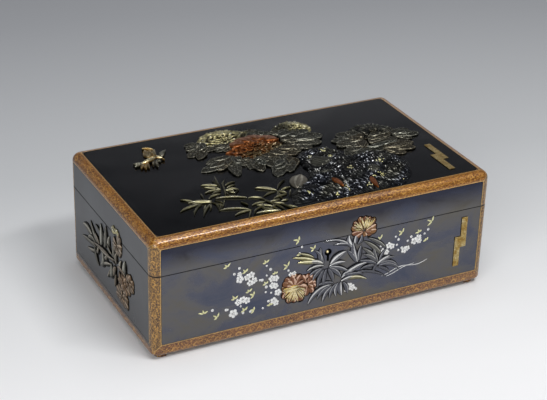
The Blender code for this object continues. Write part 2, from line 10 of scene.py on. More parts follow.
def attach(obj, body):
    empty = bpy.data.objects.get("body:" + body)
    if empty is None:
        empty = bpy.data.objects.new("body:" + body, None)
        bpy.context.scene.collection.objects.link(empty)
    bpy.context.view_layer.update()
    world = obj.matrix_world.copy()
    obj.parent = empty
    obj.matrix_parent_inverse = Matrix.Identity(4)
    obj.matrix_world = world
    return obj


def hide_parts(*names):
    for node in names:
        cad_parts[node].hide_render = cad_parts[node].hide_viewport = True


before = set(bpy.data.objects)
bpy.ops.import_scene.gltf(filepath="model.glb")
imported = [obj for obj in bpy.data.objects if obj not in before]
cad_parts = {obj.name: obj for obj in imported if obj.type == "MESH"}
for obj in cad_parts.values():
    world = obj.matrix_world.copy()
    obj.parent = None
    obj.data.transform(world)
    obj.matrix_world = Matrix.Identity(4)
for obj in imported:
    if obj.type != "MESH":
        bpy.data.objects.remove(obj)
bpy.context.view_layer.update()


# Camera. The picture was taken from above the left front corner, from about 1.2 m away and with a
# long lens, so the box shows its top, its front and its left end.
def camera_matrix(azimuth, elevation, roll, distance, target, slide):
    """The camera looks back along the direction (azimuth, elevation) at the target, is turned by roll
    about its own axis and then slides sideways and up by the slide's two lengths."""
    az, el, ro = np.radians((azimuth, elevation, roll))
    back = np.array((np.sin(az) * np.cos(el), -np.cos(az) * np.cos(el), np.sin(el)))
    right = np.cross(-back, (0, 0, 1))
    right /= np.linalg.norm(right)
    up = np.cross(back, right)
    right, up = right * np.cos(ro) + up * np.sin(ro), up * np.cos(ro) - right * np.sin(ro)
    place = np.array(target) + back * distance + right * slide[0] + up * slide[1]
    made = np.eye(4)
    made[:3] = np.stack((right, up, back, place), axis=1)
    return Matrix(made.tolist())


camera = bpy.data.objects.new("camera", bpy.data.cameras.new("camera"))
bpy.context.scene.collection.objects.link(camera)
bpy.context.scene.camera = camera
camera_turn = (-27.4118, 27.1281, 1.6441)
camera_distance, camera_target, camera_slide = 1.21125, (0, 0, 0.0517), (-0.0035, 0.0116)
sensor, focal_pixels, picture_width = 36.0, 1525.2, 547
camera.matrix_world = camera_matrix(*camera_turn, camera_distance, camera_target, camera_slide)
camera.data.sensor_width = sensor
camera.data.lens = sensor * focal_pixels / picture_width
camera.data.clip_start = 0.05
camera.data.clip_end = 20.0
bpy.context.scene.view_settings.view_transform = "Standard"


# Backdrop. A wide sheet of matt paper lies under the box. It is white in front and fades to a mid grey
# behind: painted shade for the light falling off towards the back.
def linear(code):
    """An sRGB hex colour as linear red, green, blue and alpha."""
    value = np.array([int(code[i : i + 2], 16) for i in (1, 3, 5)]) / 255
    value = np.where(value <= 0.04045, value / 12.92, ((value + 0.055) / 1.055) ** 2.4)
    return (*value.tolist(), 1.0)


def node(material, kind, inputs=None, output=0, stops=None, **settings):
    """Adds one node with its settings and links, and gives its output by name or number, or the whole
    node for None. Inputs go by name or number, and each is a value, a hex colour or another node's
    output. Stops are a colour ramp's (place, hex colour)."""
    made = material.node_tree.nodes.new("ShaderNode" + kind)
    for key, value in settings.items():
        setattr(made, key, value)
    for key, value in (inputs or {}).items():
        if isinstance(value, bpy.types.NodeSocket):
            material.node_tree.links.new(value, made.inputs[key])
        else:
            made.inputs[key].default_value = linear(value) if isinstance(value, str) else value
    if stops:
        elements = made.color_ramp.elements
        while len(elements) < len(stops):
            elements.new(0.5)
        for element, (place, colour) in zip(elements, stops):
            element.position, element.color = place, linear(colour)
    return made if output is None else made.outputs[output]


def maths(material, operation, *terms, **settings):
    """One number from others by the named operation."""
    return node(material, "Math", dict(enumerate(terms)), operation=operation, **settings)


def new_material(name):
    """An empty material that uses nodes."""
    made = bpy.data.materials.new(name)
    made.use_nodes = True
    made.node_tree.nodes.clear()
    return made


def surface(material, **inputs):
    """Ends a material with its shader, whose sockets are named with _ for a space."""
    inputs = {key.replace("_", " "): value for key, value in inputs.items()}
    shader = node(material, "BsdfPrincipled", inputs)
    node(material, "OutputMaterial", {"Surface": shader}, output=None)
    return material


paper = new_material("paper with painted shade behind")
spot = node(paper, "TexCoord", output="Object")
fade_turn, fade_scale = np.radians(12), 0.5
inputs = {"Vector": spot, "Rotation": (0, 0, fade_turn), "Scale": (fade_scale,) * 3}
turned = node(paper, "Mapping", inputs)
depth = node(paper, "SeparateXYZ", {"Vector": turned}, output="Y")
depth = maths(paper, "ADD", depth, 0.5)
# Painted shade: these greys darken the paper from white in front to mid grey behind.
greys = (
    (0.0, "#f8f8f9"), (0.42, "#f3f3f4"), (0.5, "#e4e5e6"),
    (0.6, "#cbcdcf"), (0.8, "#b0b2b6"), (1.0, "#a0a1a5"),
)
tone = node(paper, "ValToRGB", {"Fac": depth}, stops=greys)
surface(paper, Base_Color=tone, Roughness=0.95)


def grid_quads(rows, columns, wrap=False):
    """Four-sided faces of a grid of points, as indices. The last column joins the first if wrapped."""
    across = columns if wrap else columns - 1
    i, j = np.meshgrid(np.arange(rows - 1), np.arange(across), indexing="ij")
    after = (j + 1) % columns
    here, above = i * columns, (i + 1) * columns
    quads = np.stack((here + j, here + after, above + after, above + j), -1)
    return quads.reshape(-1, 4)


def piece(name, points, faces, material, marks=None, outward=True, sharp=None):
    """A mesh object of points in millimetres, with point values under the names in marks. Edges over
    the sharp angle in degrees stay crisp."""
    mesh = bpy.data.meshes.new(name)
    points = np.asarray(points, float).reshape(-1, 3) / 1000
    mesh.from_pydata(points, [], [list(map(int, face)) for face in faces])
    for key, values in (marks or {}).items():
        layer = mesh.attributes.new(key, "FLOAT", "POINT")
        layer.data.foreach_set("value", np.asarray(values, np.float32).ravel())
    if outward:
        bm = bmesh.new()
        bm.from_mesh(mesh)
        bmesh.ops.recalc_face_normals(bm, faces=bm.faces)
        bm.to_mesh(mesh)
        bm.free()
    mesh.shade_smooth()
    if sharp is not None:
        mesh.set_sharp_from_angle(angle=np.radians(sharp))
    made = bpy.data.objects.new(name, mesh)
    bpy.context.scene.collection.objects.link(made)
    mesh.materials.append(material)
    return made


floor_half, floor_lines = 4000, 9
floor_steps = np.linspace(-floor_half, floor_half, floor_lines)
floor_x, floor_y = np.meshgrid(floor_steps, floor_steps)
floor_points = np.stack((floor_x, floor_y, 0 * floor_x), -1)
floor = piece("floor", floor_points, grid_quads(floor_lines, floor_lines), paper, outward=False)


# Studio light. A narrow soft box in front on the right draws the bright line along the lid's edge, a
# broad one hangs overhead, and one each at the left and low at the back light the sides. The room is a
# dim grey, darker towards its ceiling, so that the metal shows soft shapes on a dark ground.
def soft_box(name, place, target, size, watts):
    """A white rectangular lamp that faces its target, in metres and watts."""
    made = bpy.data.objects.new(name, bpy.data.lights.new(name, "AREA"))
    bpy.context.scene.collection.objects.link(made)
    made.data.shape = "RECTANGLE"
    made.data.size, made.data.size_y = size
    made.data.energy = watts
    back = np.array(place, float) - np.array(target, float)
    back /= np.linalg.norm(back)
    right = np.cross((0, 1, 0) if abs(back[2]) > 0.95 else (0, 0, 1), back)
    right /= np.linalg.norm(right)
    up = np.cross(back, right)
    turn = np.eye(4)
    turn[:3] = np.stack((right, up, back, place), axis=1)
    made.matrix_world = Matrix(turn.tolist())


soft_box("soft box front right", (0.22, -0.66, 1.08), (0.0, 0.0, 0.05), (0.62, 0.13), 6.6)
soft_box("soft box overhead", (0.15, -0.1, 1.9), (0.0, 0.0, 0.0), (1.8, 1.6), 13.8)
soft_box("soft box left", (-1.15, -1.15, 0.95), (-0.1, -0.05, 0.05), (1.1, 0.9), 13.5)
soft_box("soft box back", (0.5, 2.1, 0.72), (0.0, 0.0, 0.08), (2.6, 0.22), 2.2)
world = bpy.data.worlds.new("studio")
bpy.context.scene.world = world
world.use_nodes = True
world.node_tree.nodes.clear()
spot = node(world, "TexCoord", output="Generated")
height = node(world, "SeparateXYZ", {"Vector": spot}, output="Z")
greys = ((0.3, "#b4b6ba"), (0.395, "#a6a8ac"), (0.45, "#6c6e72"), (0.7, "#5c5e64"))
glow = node(world, "ValToRGB", {"Fac": height}, stops=greys)
room_strength = 0.6
glow = node(world, "Background", {"Color": glow, "Strength": room_strength})
node(world, "OutputWorld", {"Surface": glow}, output=None)


# Carcass. The box and its lid are wood, with the upright and upper edges rounded to a quarter of a
# circle and the lower ones less, coated with amber lacquer over sprinkled gold powder, with gold
# scrollwork along the borders and a clear polished coat. Sunk beds hold the metal panels.
length, width, foot, top, seam = 285.0, 166.0, 3.5, 99.0, 70.2
edge, base_edge, border, bottom_border, wall, gap = 6.7, 3.0, 7.3, 9.7, 8.0, 0.3
sheet = 0.9
bed = sheet + gap
side_corner, top_corner = 1.5, 5.0
panel_low, panel_high = foot + bottom_border, top - border
corner_steps = 12


def ramp(material, value, low=0.0, high=1.0, start=0.0, end=1.0):
    """Goes evenly from start to end as the value goes from low to high, and stays level outside."""
    return node(material, "MapRange", {0: value, 1: low, 2: high, 3: start, 4: end})


def mixed(material, share, first, second, **settings):
    """A colour that goes from the first to the second as the share goes from 0 to 1."""
    inputs = {0: share, 6: first, 7: second}
    return node(material, "Mix", inputs, output=2, data_type="RGBA", **settings)


# Nashiji lacquer, polished under a clear coat. The distances from the three outer faces say which border
# a point is on: the largest runs along it, and the middle one less the smallest across it. Scrolls turn
# every 8.6 mm, thin gold lines follow the panels and the mitres, and the gold powder, about 1 mm and so
# coarser than real grit, is strewn in short streaks along the borders.
lacquer = new_material("nashiji lacquer")
spot = node(lacquer, "TexCoord", output="Object")
inputs = {"Vector": spot, "Location": (0, 0, -(foot + top) / 2), "Scale": (1000, 1000, 1000)}
middle = node(lacquer, "Mapping", inputs)
away = node(lacquer, "VectorMath", {0: middle}, operation="ABSOLUTE")
half_box = (length / 2, width / 2, (top - foot) / 2)
away = node(lacquer, "VectorMath", {0: half_box, 1: away}, operation="SUBTRACT")
level = node(lacquer, "SeparateXYZ", {"Vector": middle}, output="Z")
below = maths(lacquer, "LESS_THAN", level, 0.0)
lower = node(lacquer, "CombineXYZ", {2: below})
inputs = {0: lower, 1: (0, 0, border - bottom_border), 2: away}
away = node(lacquer, "VectorMath", inputs, operation="MULTIPLY_ADD")
apart = node(lacquer, "SeparateXYZ", {"Vector": away}, output=None).outputs
runs = []
for mine, second, third in ("XYZ", "YZX", "ZXY"):
    other = maths(lacquer, "MAXIMUM", apart[second], apart[third])
    runs.append(maths(lacquer, "GREATER_THAN", apart[mine], other))
run = node(lacquer, "CombineXYZ", dict(enumerate(runs)))
nearest = maths(lacquer, "MINIMUM", apart["X"], apart["Y"])
nearest = maths(lacquer, "MINIMUM", nearest, apart["Z"])
furthest = node(lacquer, "VectorMath", {0: run, 1: away}, output="Value", operation="DOT_PRODUCT")
total = node(lacquer, "VectorMath", {0: away, 1: (1, 1, 1)}, output="Value", operation="DOT_PRODUCT")
between = maths(lacquer, "SUBTRACT", total, nearest)
between = maths(lacquer, "SUBTRACT", between, furthest)
along = node(lacquer, "VectorMath", {0: run, 1: middle}, output="Value", operation="DOT_PRODUCT")
ahead = node(lacquer, "CombineXYZ", {0: apart["Y"], 1: apart["Z"], 2: apart["X"]})
behind = node(lacquer, "CombineXYZ", {0: apart["Z"], 1: apart["X"], 2: apart["Y"]})
across = node(lacquer, "VectorMath", {0: ahead, 1: behind}, operation="SUBTRACT")
across = node(lacquer, "VectorMath", {0: run, 1: across}, output="Value", operation="DOT_PRODUCT")

scroll_pitch, scroll_turn, scroll_squash = 8.6, 1.7, 0.8
cell = maths(lacquer, "DIVIDE", along, scroll_pitch)
share = maths(lacquer, "FRACT", cell)
share = maths(lacquer, "MULTIPLY_ADD", share, scroll_pitch, -scroll_pitch / 2)
odd = maths(lacquer, "FLOOR", cell)
odd = maths(lacquer, "FLOORED_MODULO", odd, 2.0)
odd = maths(lacquer, "MULTIPLY_ADD", odd, 2 * scroll_squash, -scroll_squash)
over = maths(lacquer, "MULTIPLY", across, odd)
reach = node(lacquer, "CombineXYZ", {0: share, 1: over})
reach = node(lacquer, "VectorMath", {0: reach}, output="Value", operation="LENGTH")
turn = maths(lacquer, "ARCTAN2", over, share)
turn = maths(lacquer, "DIVIDE", turn, 2 * np.pi)
arm = maths(lacquer, "MULTIPLY_ADD", reach, 1 / scroll_turn, turn)
arm = maths(lacquer, "PINGPONG", arm, 1.0)
line = ramp(lacquer, arm, 0.62, 0.8)
inner = ramp(lacquer, reach, 3.9, scroll_pitch / 2, 1.0, 0.0)
line = maths(lacquer, "MULTIPLY", line, inner)
worn = node(lacquer, "TexNoise", {"Vector": spot, "Scale": 160.0, "Detail": 3.0})
worn = ramp(lacquer, worn, 0.36, 0.62, 0.1, 0.65)
line = maths(lacquer, "MULTIPLY", line, worn)

rule_inset = 0.6
outside = ramp(lacquer, nearest, 2.2, 2.6, 1.0, 0.0)
rule = maths(lacquer, "SUBTRACT", between, border - rule_inset)
rule = maths(lacquer, "ABSOLUTE", rule)
rule = ramp(lacquer, rule, 0.14, 0.38, 0.5, 0.0)
mitre = maths(lacquer, "SUBTRACT", furthest, between)
mitre = ramp(lacquer, mitre, 0.2, 0.5, 0.4, 0.0)
rule = maths(lacquer, "MAXIMUM", rule, mitre)
rule = maths(lacquer, "MULTIPLY", rule, outside)

streak = 0.35
inputs = {0: run, 1: (-streak,) * 3, 2: (1, 1, 1)}
streaked = node(lacquer, "VectorMath", inputs, operation="MULTIPLY_ADD")
streaked = node(lacquer, "VectorMath", {0: streaked, 1: middle}, operation="MULTIPLY")
powder = node(lacquer, "TexNoise", {"Vector": streaked, "Scale": 1.05, "Detail": 3.0, "Roughness": 0.8})
flake = ramp(lacquer, powder, 0.53, 0.62, end=0.95)
pit = ramp(lacquer, powder, 0.37, 0.47, 0.92, 0.0)
cloud = node(lacquer, "TexNoise", {"Vector": spot, "Scale": 45.0, "Detail": 4.0})
# Painted shade and painted reflection: the upright corners take a duller, greener copy of the amber, as a
# reflection of the grey room, and the lower border a darker red copy, as shade.
coat_codes = (
    ("#693906", "#85500c", "#996318"),
    ("#463415", "#5c451c", "#6e5526"),
    ("#532a0e", "#6b3d1a", "#7e5228"),
)
coat_stops = [tuple(zip((0.3, 0.5, 0.72), codes)) for codes in coat_codes]
amber, olive, redder = (node(lacquer, "ValToRGB", {"Fac": cloud}, stops=stops) for stops in coat_stops)
post = maths(lacquer, "MULTIPLY", runs[2], 0.8)
ground = mixed(lacquer, post, amber, olive)
# Painted shade: the lower border takes the darker red copy.
low = ramp(lacquer, level, -40.0, -34.0, 1.0, 0.0)
low = maths(lacquer, "SUBTRACT", low, runs[2], use_clamp=True)
ground = mixed(lacquer, low, ground, redder)
ground = mixed(lacquer, pit, ground, "#341705")
gold = maths(lacquer, "MAXIMUM", flake, line)
ground = mixed(lacquer, gold, ground, "#cf9c4c")
ground = mixed(lacquer, rule, ground, "#d8b470")
# Painted shade: near black deeper than 3.5 mm from the outer faces, as in the lock pocket and inside the box.
inside = ramp(lacquer, nearest, 3.5, 4.0, end=0.9)
# Painted shadow: a thin near-black line where each panel meets its bed.
crack = ramp(lacquer, between, border - 0.14, border - 0.04, end=0.85)
# Painted shadow: a near-black band 2.4 mm wide along the lower edge of each end panel.
groove = ramp(lacquer, between, border - 2.7, border - 2.4, end=0.97)
groove = maths(lacquer, "MULTIPLY", groove, runs[1])
groove = maths(lacquer, "MULTIPLY", groove, below)
crack = maths(lacquer, "MAXIMUM", crack, groove)
inside = maths(lacquer, "MAXIMUM", inside, crack)
# Painted shadow: near black across the upright corners in the gap between lid and box.
seam_line = maths(lacquer, "ADD", level, (foot + top) / 2 - seam - gap / 2)
seam_line = maths(lacquer, "ABSOLUTE", seam_line)
seam_line = ramp(lacquer, seam_line, 0.35, 0.65, 0.95, 0.0)
seam_line = maths(lacquer, "MULTIPLY", seam_line, runs[2])
inside = maths(lacquer, "MAXIMUM", inside, seam_line)
# Painted shade and painted shadow: all these marks are laid on in near black.
ground = mixed(lacquer, inside, ground, "#0e0907")
polish = ramp(lacquer, powder, 0.3, 0.7, 0.46, 0.22)
grain = node(lacquer, "Bump", {"Height": powder, "Strength": 0.5, "Distance": 0.0004})
surface(
    lacquer, Base_Color=ground, Metallic=0.25, Roughness=polish, Normal=grain,
    Coat_Weight=0.6, Coat_Roughness=0.05, Coat_IOR=1.54,
)


straight = 3.0


def ring(inset, radius, z, half_x=length / 2, half_y=width / 2):
    """A rounded rectangle of points at one height, its sides moved in by the inset. Each corner is an
    arc with one more point on the straight side before and after it."""
    turns = np.radians(np.linspace(0, 90, corner_steps + 1))
    points = []
    for quarter, (sx, sy) in enumerate(((1, 1), (-1, 1), (-1, -1), (1, -1))):
        centre = np.array((sx * (half_x - inset - radius), sy * (half_y - inset - radius)))
        angles = turns + quarter * np.pi / 2
        arc = centre + radius * np.stack((np.cos(angles), np.sin(angles)), -1)
        first = arc[0] - straight * np.array((-np.sin(angles[0]), np.cos(angles[0])))
        last = arc[-1] + straight * np.array((-np.sin(angles[-1]), np.cos(angles[-1])))
        points += [first[None], arc, last[None]]
    flat = np.concatenate(points)
    return np.concatenate((flat, np.full((len(flat), 1), z)), axis=1)


def carcass(name, profile):
    """A profile of (inset, corner radius, height) points carried round the box, closed by a flat face
    at either end."""
    rings = np.stack([ring(*station) for station in profile])
    rows, columns = rings.shape[:2]
    faces = [list(face) for face in grid_quads(rows, columns, wrap=True)]
    faces += [list(range(columns)), list(range((rows - 1) * columns, rows * columns))[::-1]]
    return piece(name, rings, faces, lacquer)


def quarter_round(z_edge, direction, radius=edge):
    """Profile stations round an outer edge, from the flat face to the upright side."""
    turns = np.radians(np.linspace(0, 90, corner_steps + 1))
    insets, drops = radius * (1 - np.sin(turns)), radius * (1 - np.cos(turns))
    corners = np.maximum(edge - insets, 0.05)
    return [*zip(insets, corners, z_edge - direction * drops)]


def cased(points, columns):
    """Faces for rings of points in order, with flat ends."""
    rows = len(points) // columns
    faces = [list(face) for face in grid_quads(rows, columns, wrap=True)]
    return faces + [list(range(columns))[::-1], list(range((rows - 1) * columns, rows * columns))]


def block(name, half, centre, corner, low, high, turn):
    """A cutter: a rounded rectangle carried from one depth to another and turned onto its face."""
    points = np.concatenate([ring(0, corner, low, *half), ring(0, corner, high, *half)])
    points[:, 1] += centre
    points = points @ np.array(turn, float).T
    return piece(name, points, cased(points, len(points) // 2), lacquer)


def cut(target, cutters):
    """Cuts the beds out of a carcass piece and keeps edges over 32 degrees crisp."""
    for tool in cutters:
        modifier = target.modifiers.new(tool.name, "BOOLEAN")
        modifier.operation = "DIFFERENCE"
        modifier.object = tool
    graph = bpy.context.evaluated_depsgraph_get()
    made = bpy.data.meshes.new_from_object(target.evaluated_get(graph))
    target.modifiers.clear()
    target.data = made
    made.shade_smooth()
    made.set_sharp_from_angle(angle=np.radians(32))
    for tool in cutters:
        bpy.data.objects.remove(tool)


lip, lip_play, lip_height, rebate_height = 2.8, 0.4, 4.0, 4.4
board, inner_corner = 6.5, 3.0
floor_inside, ceiling = foot + board, top - board
seam_bevel, seam_inset, clear = 0.25, 0.1, 0.2
lid_profile = [
    (border - gap, top_corner + gap, top - bed),
    (border - gap, top_corner + gap, top),
    *quarter_round(top, 1),
    (0, edge, panel_high + clear),
    (0, edge, seam + gap + seam_bevel),
    (seam_bevel, edge - seam_bevel, seam + gap),
    (wall - lip - lip_play, inner_corner + lip, seam + gap),
    (wall - lip - lip_play, inner_corner + lip, seam + rebate_height),
    (wall, inner_corner, seam + rebate_height),
    (wall, inner_corner, ceiling),
]
body_profile = [
    (wall, inner_corner, floor_inside),
    (wall, inner_corner, seam + lip_height),
    (wall - lip, inner_corner + lip, seam + lip_height),
    (wall - lip, inner_corner + lip, seam),
    (seam_inset, edge - seam_inset, seam),
    (0, edge, seam - seam_bevel),
    (0, edge, panel_low - clear),
    *quarter_round(foot, -1, base_edge)[::-1],
]
lid = carcass("lacquered_lid", lid_profile)
body = carcass("lacquered_box", body_profile)
half_long, half_deep = length / 2 - border + gap, width / 2 - border + gap
half_tall, side_middle = (panel_high - panel_low) / 2 + gap, (panel_high + panel_low) / 2
facings = {
    "front": (((1, 0, 0), (0, 0, -1), (0, 1, 0)), half_long, width / 2),
    "back": (((-1, 0, 0), (0, 0, 1), (0, 1, 0)), half_long, width / 2),
    "left": (((0, 0, -1), (-1, 0, 0), (0, 1, 0)), half_deep, length / 2),
    "right": (((0, 0, 1), (1, 0, 0), (0, 1, 0)), half_deep, length / 2),
}
keyhole_height = seam - 10.4
pocket, pocket_middle, pocket_depth = (4.4, 6.8), keyhole_height - 1.6, 6.4
front_way, front_out = facings["front"][0], width / 2
bed_corner, beyond = side_corner + gap, 9
for target in (lid, body):
    tools = [
        block(f"{target.name} {where}", (half, half_tall), side_middle, bed_corner, out - bed,
              out + beyond, turn)
        for where, (turn, half, out) in facings.items()
    ]
    if target is body:
        depths = (front_out - pocket_depth, front_out + 1)
        tools.insert(0, block("lock pocket", pocket, pocket_middle, 1.0, *depths, front_way))
    cut(target, tools)


def dress(made, slot, *nodes):
    """The piece goes with the box and stands for the named solids. The slot is not used."""
    if nodes:
        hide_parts(*nodes)
    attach(made, "root")


def refinish(material, *nodes):
    """Solids that are right as they are get their real finish."""
    for name in nodes:
        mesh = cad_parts[name].data
        mesh.materials.clear()
        mesh.materials.append(material)


dress(lid, "lacquer", "lid")
dress(body, "lacquer", "box_body")
refinish(lacquer, "foot_front_left", "foot_front_right", "foot_back_left", "foot_back_right")


# Panels. Rolled sheets of copper with a few parts of gold and silver, pickled to a blue-black patina
# that has clouded to brown and slate, and glued in their beds. The front is the most mottled.
def patina_material(name, tones, cloud_size, rough, band=None, parted=0.2):
    """Patinated sheet: cloudy tones over the size given in millimetres, with faint rubbed scratches, and
    a darker band, a painted reflection, from one height to another where its colour is given. It is
    painted black as far as the parted width above and below the lid's edge, as painted shadow in the gap."""
    made = new_material(name)
    spot = node(made, "TexCoord", output="Object")
    stretched = node(made, "Mapping", {"Vector": spot, "Scale": (0.6, 1.0, 1.0)})
    inputs = {"Vector": stretched, "Scale": 1000 / cloud_size, "Detail": 5.0}
    cloud = node(made, "TexNoise", {**inputs, "Roughness": 0.6, "Distortion": 0.6})
    colour = node(made, "ValToRGB", {"Fac": cloud}, stops=tones)
    level = node(made, "SeparateXYZ", {"Vector": spot}, output="Z")
    # Painted reflection: the band darkens the sheet between two heights.
    if band:
        tone, low, high, amount = band
        waver = 0.022
        wavy = maths(made, "MULTIPLY_ADD", cloud, waver, level)
        share = ramp(made, wavy, low + waver / 2, high + waver / 2, end=amount)
        colour = mixed(made, share, colour, tone)
    # Painted shadow: near black in the gap between lid and box, as wide as the parted width.
    level = maths(made, "ADD", level, -(seam + gap / 2) / 1000)
    level = maths(made, "ABSOLUTE", level)
    parting = ramp(made, level, parted / 1000, parted / 700, 0.97, 0.0)
    colour = mixed(made, parting, colour, "#060606")
    fine = node(made, "TexNoise", {"Vector": spot, "Scale": 500.0, "Detail": 3.0})
    dull = ramp(made, cloud, 0.3, 0.7, rough - 0.05, rough + 0.07)
    bump = node(made, "Bump", {"Height": fine, "Strength": 0.05, "Distance": 0.0002})
    return surface(made, Base_Color=colour, Metallic=1.0, Roughness=dull, Normal=bump)


black = ((0.3, "#38383c"), (0.7, "#404043"))
top_metal = patina_material("black patinated copper gold alloy", black, 60, 0.15)
slate = ((0.3, "#4d5262"), (0.43, "#595b66"), (0.55, "#646364"), (0.68, "#67635a"))
# Painted reflection: a dark navy band along the front's upper part.
inky_band = ("#2c2e3c", 0.074, 0.088, 0.85)
front_metal = patina_material("clouded slate patinated copper alloy", slate, 28, 0.27, inky_band, 0.25)
grey = ((0.3, "#5c5e62"), (0.7, "#646466"))
end_metal = patina_material("grey patinated copper alloy", grey, 70, 0.32, parted=0.6)
refinish(top_metal, "top_panel")
for metal, sides in ((front_metal, ("front", "back")), (end_metal, ("left", "right"))):
    refinish(metal, *(f"{side}_panel_{half}" for side in sides for half in ("lower", "upper")))


# Lock. A steel case fills the pocket behind the keyhole, painted near black as the shade in the
# keyhole, and a turned brass pin stands in it for the hollow key.
pin_radius, pin_sides = 1.3, 24
around = np.linspace(0, 2 * np.pi, pin_sides, endpoint=False)
pin_profile = np.array(
    ((0.03, -82.95), (0.6, -82.8), (1.0, -82.5), (pin_radius, -82.0), (pin_radius, -78.3))
)
pin = np.stack(
    (
        pin_profile[:, :1] * np.cos(around),
        np.broadcast_to(pin_profile[:, 1:], (len(pin_profile), pin_sides)),
        keyhole_height + pin_profile[:, :1] * np.sin(around),
    ),
    -1,
)
# Painted shade: the case is near black so that the keyhole shows dark.
blued_steel = new_material("blackened steel")
spot = node(blued_steel, "TexCoord", output="Object")
scale = node(blued_steel, "TexNoise", {"Vector": spot, "Scale": 700.0, "Detail": 3.0})
scale = node(blued_steel, "ValToRGB", {"Fac": scale}, stops=((0.35, "#060606"), (0.7, "#151516")))
surface(blued_steel, Base_Color=scale, Metallic=0.6, Roughness=0.6)
stations = ((0.4, 0.6, -6.0), (0.4, 0.6, -1.25), (0.05, 1.0, -1.25), (0.05, 1.0, -6.35))
case = np.concatenate([ring(inset, corner, front_out + deep, *pocket) for inset, corner, deep in stations])
case[:, 1] += pocket_middle
case = case @ np.array(front_way, float).T
case_faces = cased(case, len(case) // len(stations))
dress(piece("lock_case", case, case_faces, blued_steel, sharp=40), "pin_brass")
brass = new_material("turned brass")
spot = node(brass, "TexCoord", output="Object")
tarnish = node(brass, "TexNoise", {"Vector": spot, "Scale": 900.0})
tarnish = node(brass, "ValToRGB", {"Fac": tarnish}, stops=((0.3, "#e0c88a"), (0.7, "#fbf0c8")))
surface(brass, Base_Color=tarnish, Metallic=1.0, Roughness=0.35)
pin_faces = cased(pin.reshape(-1, 3), pin_sides)
dress(piece("lock_pin_turned", pin, pin_faces, brass, sharp=50), "pin_brass", "lock_pin")


# Relief metals. Each carving is cast and chiselled from its own alloy, patinated in the hollows and
# brightened along its high edges, partly as wear and partly as painted highlight. The attributes worn
# and tint say how high and which colour; worn also carries the painted highlights and shadows noted below.
def alloy_material(name, hollow, body_colour, rim, second=None, rough=0.3, speckle=0.25, size=1.2, dots=0.0):
    """A patinated alloy that goes from its hollow colour over its body colour to its rim colour, which is
    partly wear and partly painted highlight, towards the second pair of colours where tint is high.
    Speckle is the depth of the mottling, whose spots are size millimetres apart, and dots is the share
    of them that is punched bright."""
    made = new_material(name)
    spot = node(made, "TexCoord", output="Object")
    worn = node(made, "Attribute", output="Fac", attribute_name="worn")
    tint = node(made, "Attribute", output="Fac", attribute_name="tint")
    fleck = node(made, "TexNoise", {"Vector": spot, "Scale": 1000 / size, "Detail": 3.0})
    height = maths(made, "MULTIPLY_ADD", fleck, speckle * 4, worn)
    height = maths(made, "SUBTRACT", height, speckle * 2)
    cell = node(made, "TexVoronoi", {"Vector": spot, "Scale": 900 / size}, output=None).outputs
    share = node(made, "SeparateXYZ", {"Vector": cell["Color"]})
    share = ramp(made, share, 1 - dots, 1.12 - dots, end=0.75)
    punched = ramp(made, cell["Distance"], 0.22, 0.42, 1.0, 0.0)
    height = maths(made, "MULTIPLY_ADD", share, punched, height)
    places = (0.0, 0.35, 0.62, 0.95)
    stops = tuple(zip(places, (hollow, body_colour, body_colour, rim)))
    colour = node(made, "ValToRGB", {"Fac": height}, stops=stops)
    if second:
        stops = tuple(zip(places, (hollow, second[0], second[0], second[1])))
        other = node(made, "ValToRGB", {"Fac": height}, stops=stops)
        colour = mixed(made, tint, colour, other)
    dull = ramp(made, height, start=rough + 0.2, end=rough - 0.06)
    bump = node(made, "Bump", {"Height": height, "Strength": 0.45, "Distance": 0.0004})
    return surface(made, Base_Color=colour, Metallic=1.0, Roughness=dull, Normal=bump)


def onto(side, u, v, h):
    """Points from their distance along a face as seen from outside, their place up it and their height
    out of it. On an upright face the place up it is the height over the table."""
    u, v, h = np.broadcast_arrays(u, v, h)
    if side == "top":
        return np.stack((u, v, top + h), -1)
    if side == "front":
        return np.stack((u, -width / 2 - h, v), -1)
    if side == "back":
        return np.stack((-u, width / 2 + h, v), -1)
    if side == "left":
        return np.stack((-length / 2 - h, -u, v), -1)
    return np.stack((length / 2 + h, u, v), -1)


def shells(upper, lower):
    """Closed thin forms from stacks of grids (form, row, column, xyz), an upper and a lower one, joined
    along their four sides."""
    count, rows, columns = upper.shape[:3]
    index = np.arange(rows * columns).reshape(rows, columns)
    rim = np.concatenate((index[0, :-1], index[:-1, -1], index[-1, :0:-1], index[:0:-1, 0]))
    following = np.roll(rim, -1)
    each = rows * columns
    quads = grid_quads(rows, columns)
    walls = np.stack((rim, following, following + each, rim + each), -1)
    quads = np.concatenate((quads[:, ::-1], quads + each, walls))
    faces = (quads[None] + (np.arange(count) * 2 * each)[:, None, None]).reshape(-1, 4)
    return np.stack((upper, lower), 1).reshape(-1, 3), faces


def joined(parts):
    """Several (points, faces, marks) as one."""
    offsets = np.cumsum([0] + [len(points) for points, _, _ in parts[:-1]])
    points = np.concatenate([points for points, _, _ in parts])
    faces = [face for (_, quads, _), start in zip(parts, offsets) for face in (quads + start).tolist()]
    marks = {key: np.concatenate([marks[key] for _, _, marks in parts]) for key in parts[0][2]}
    return points, faces, marks


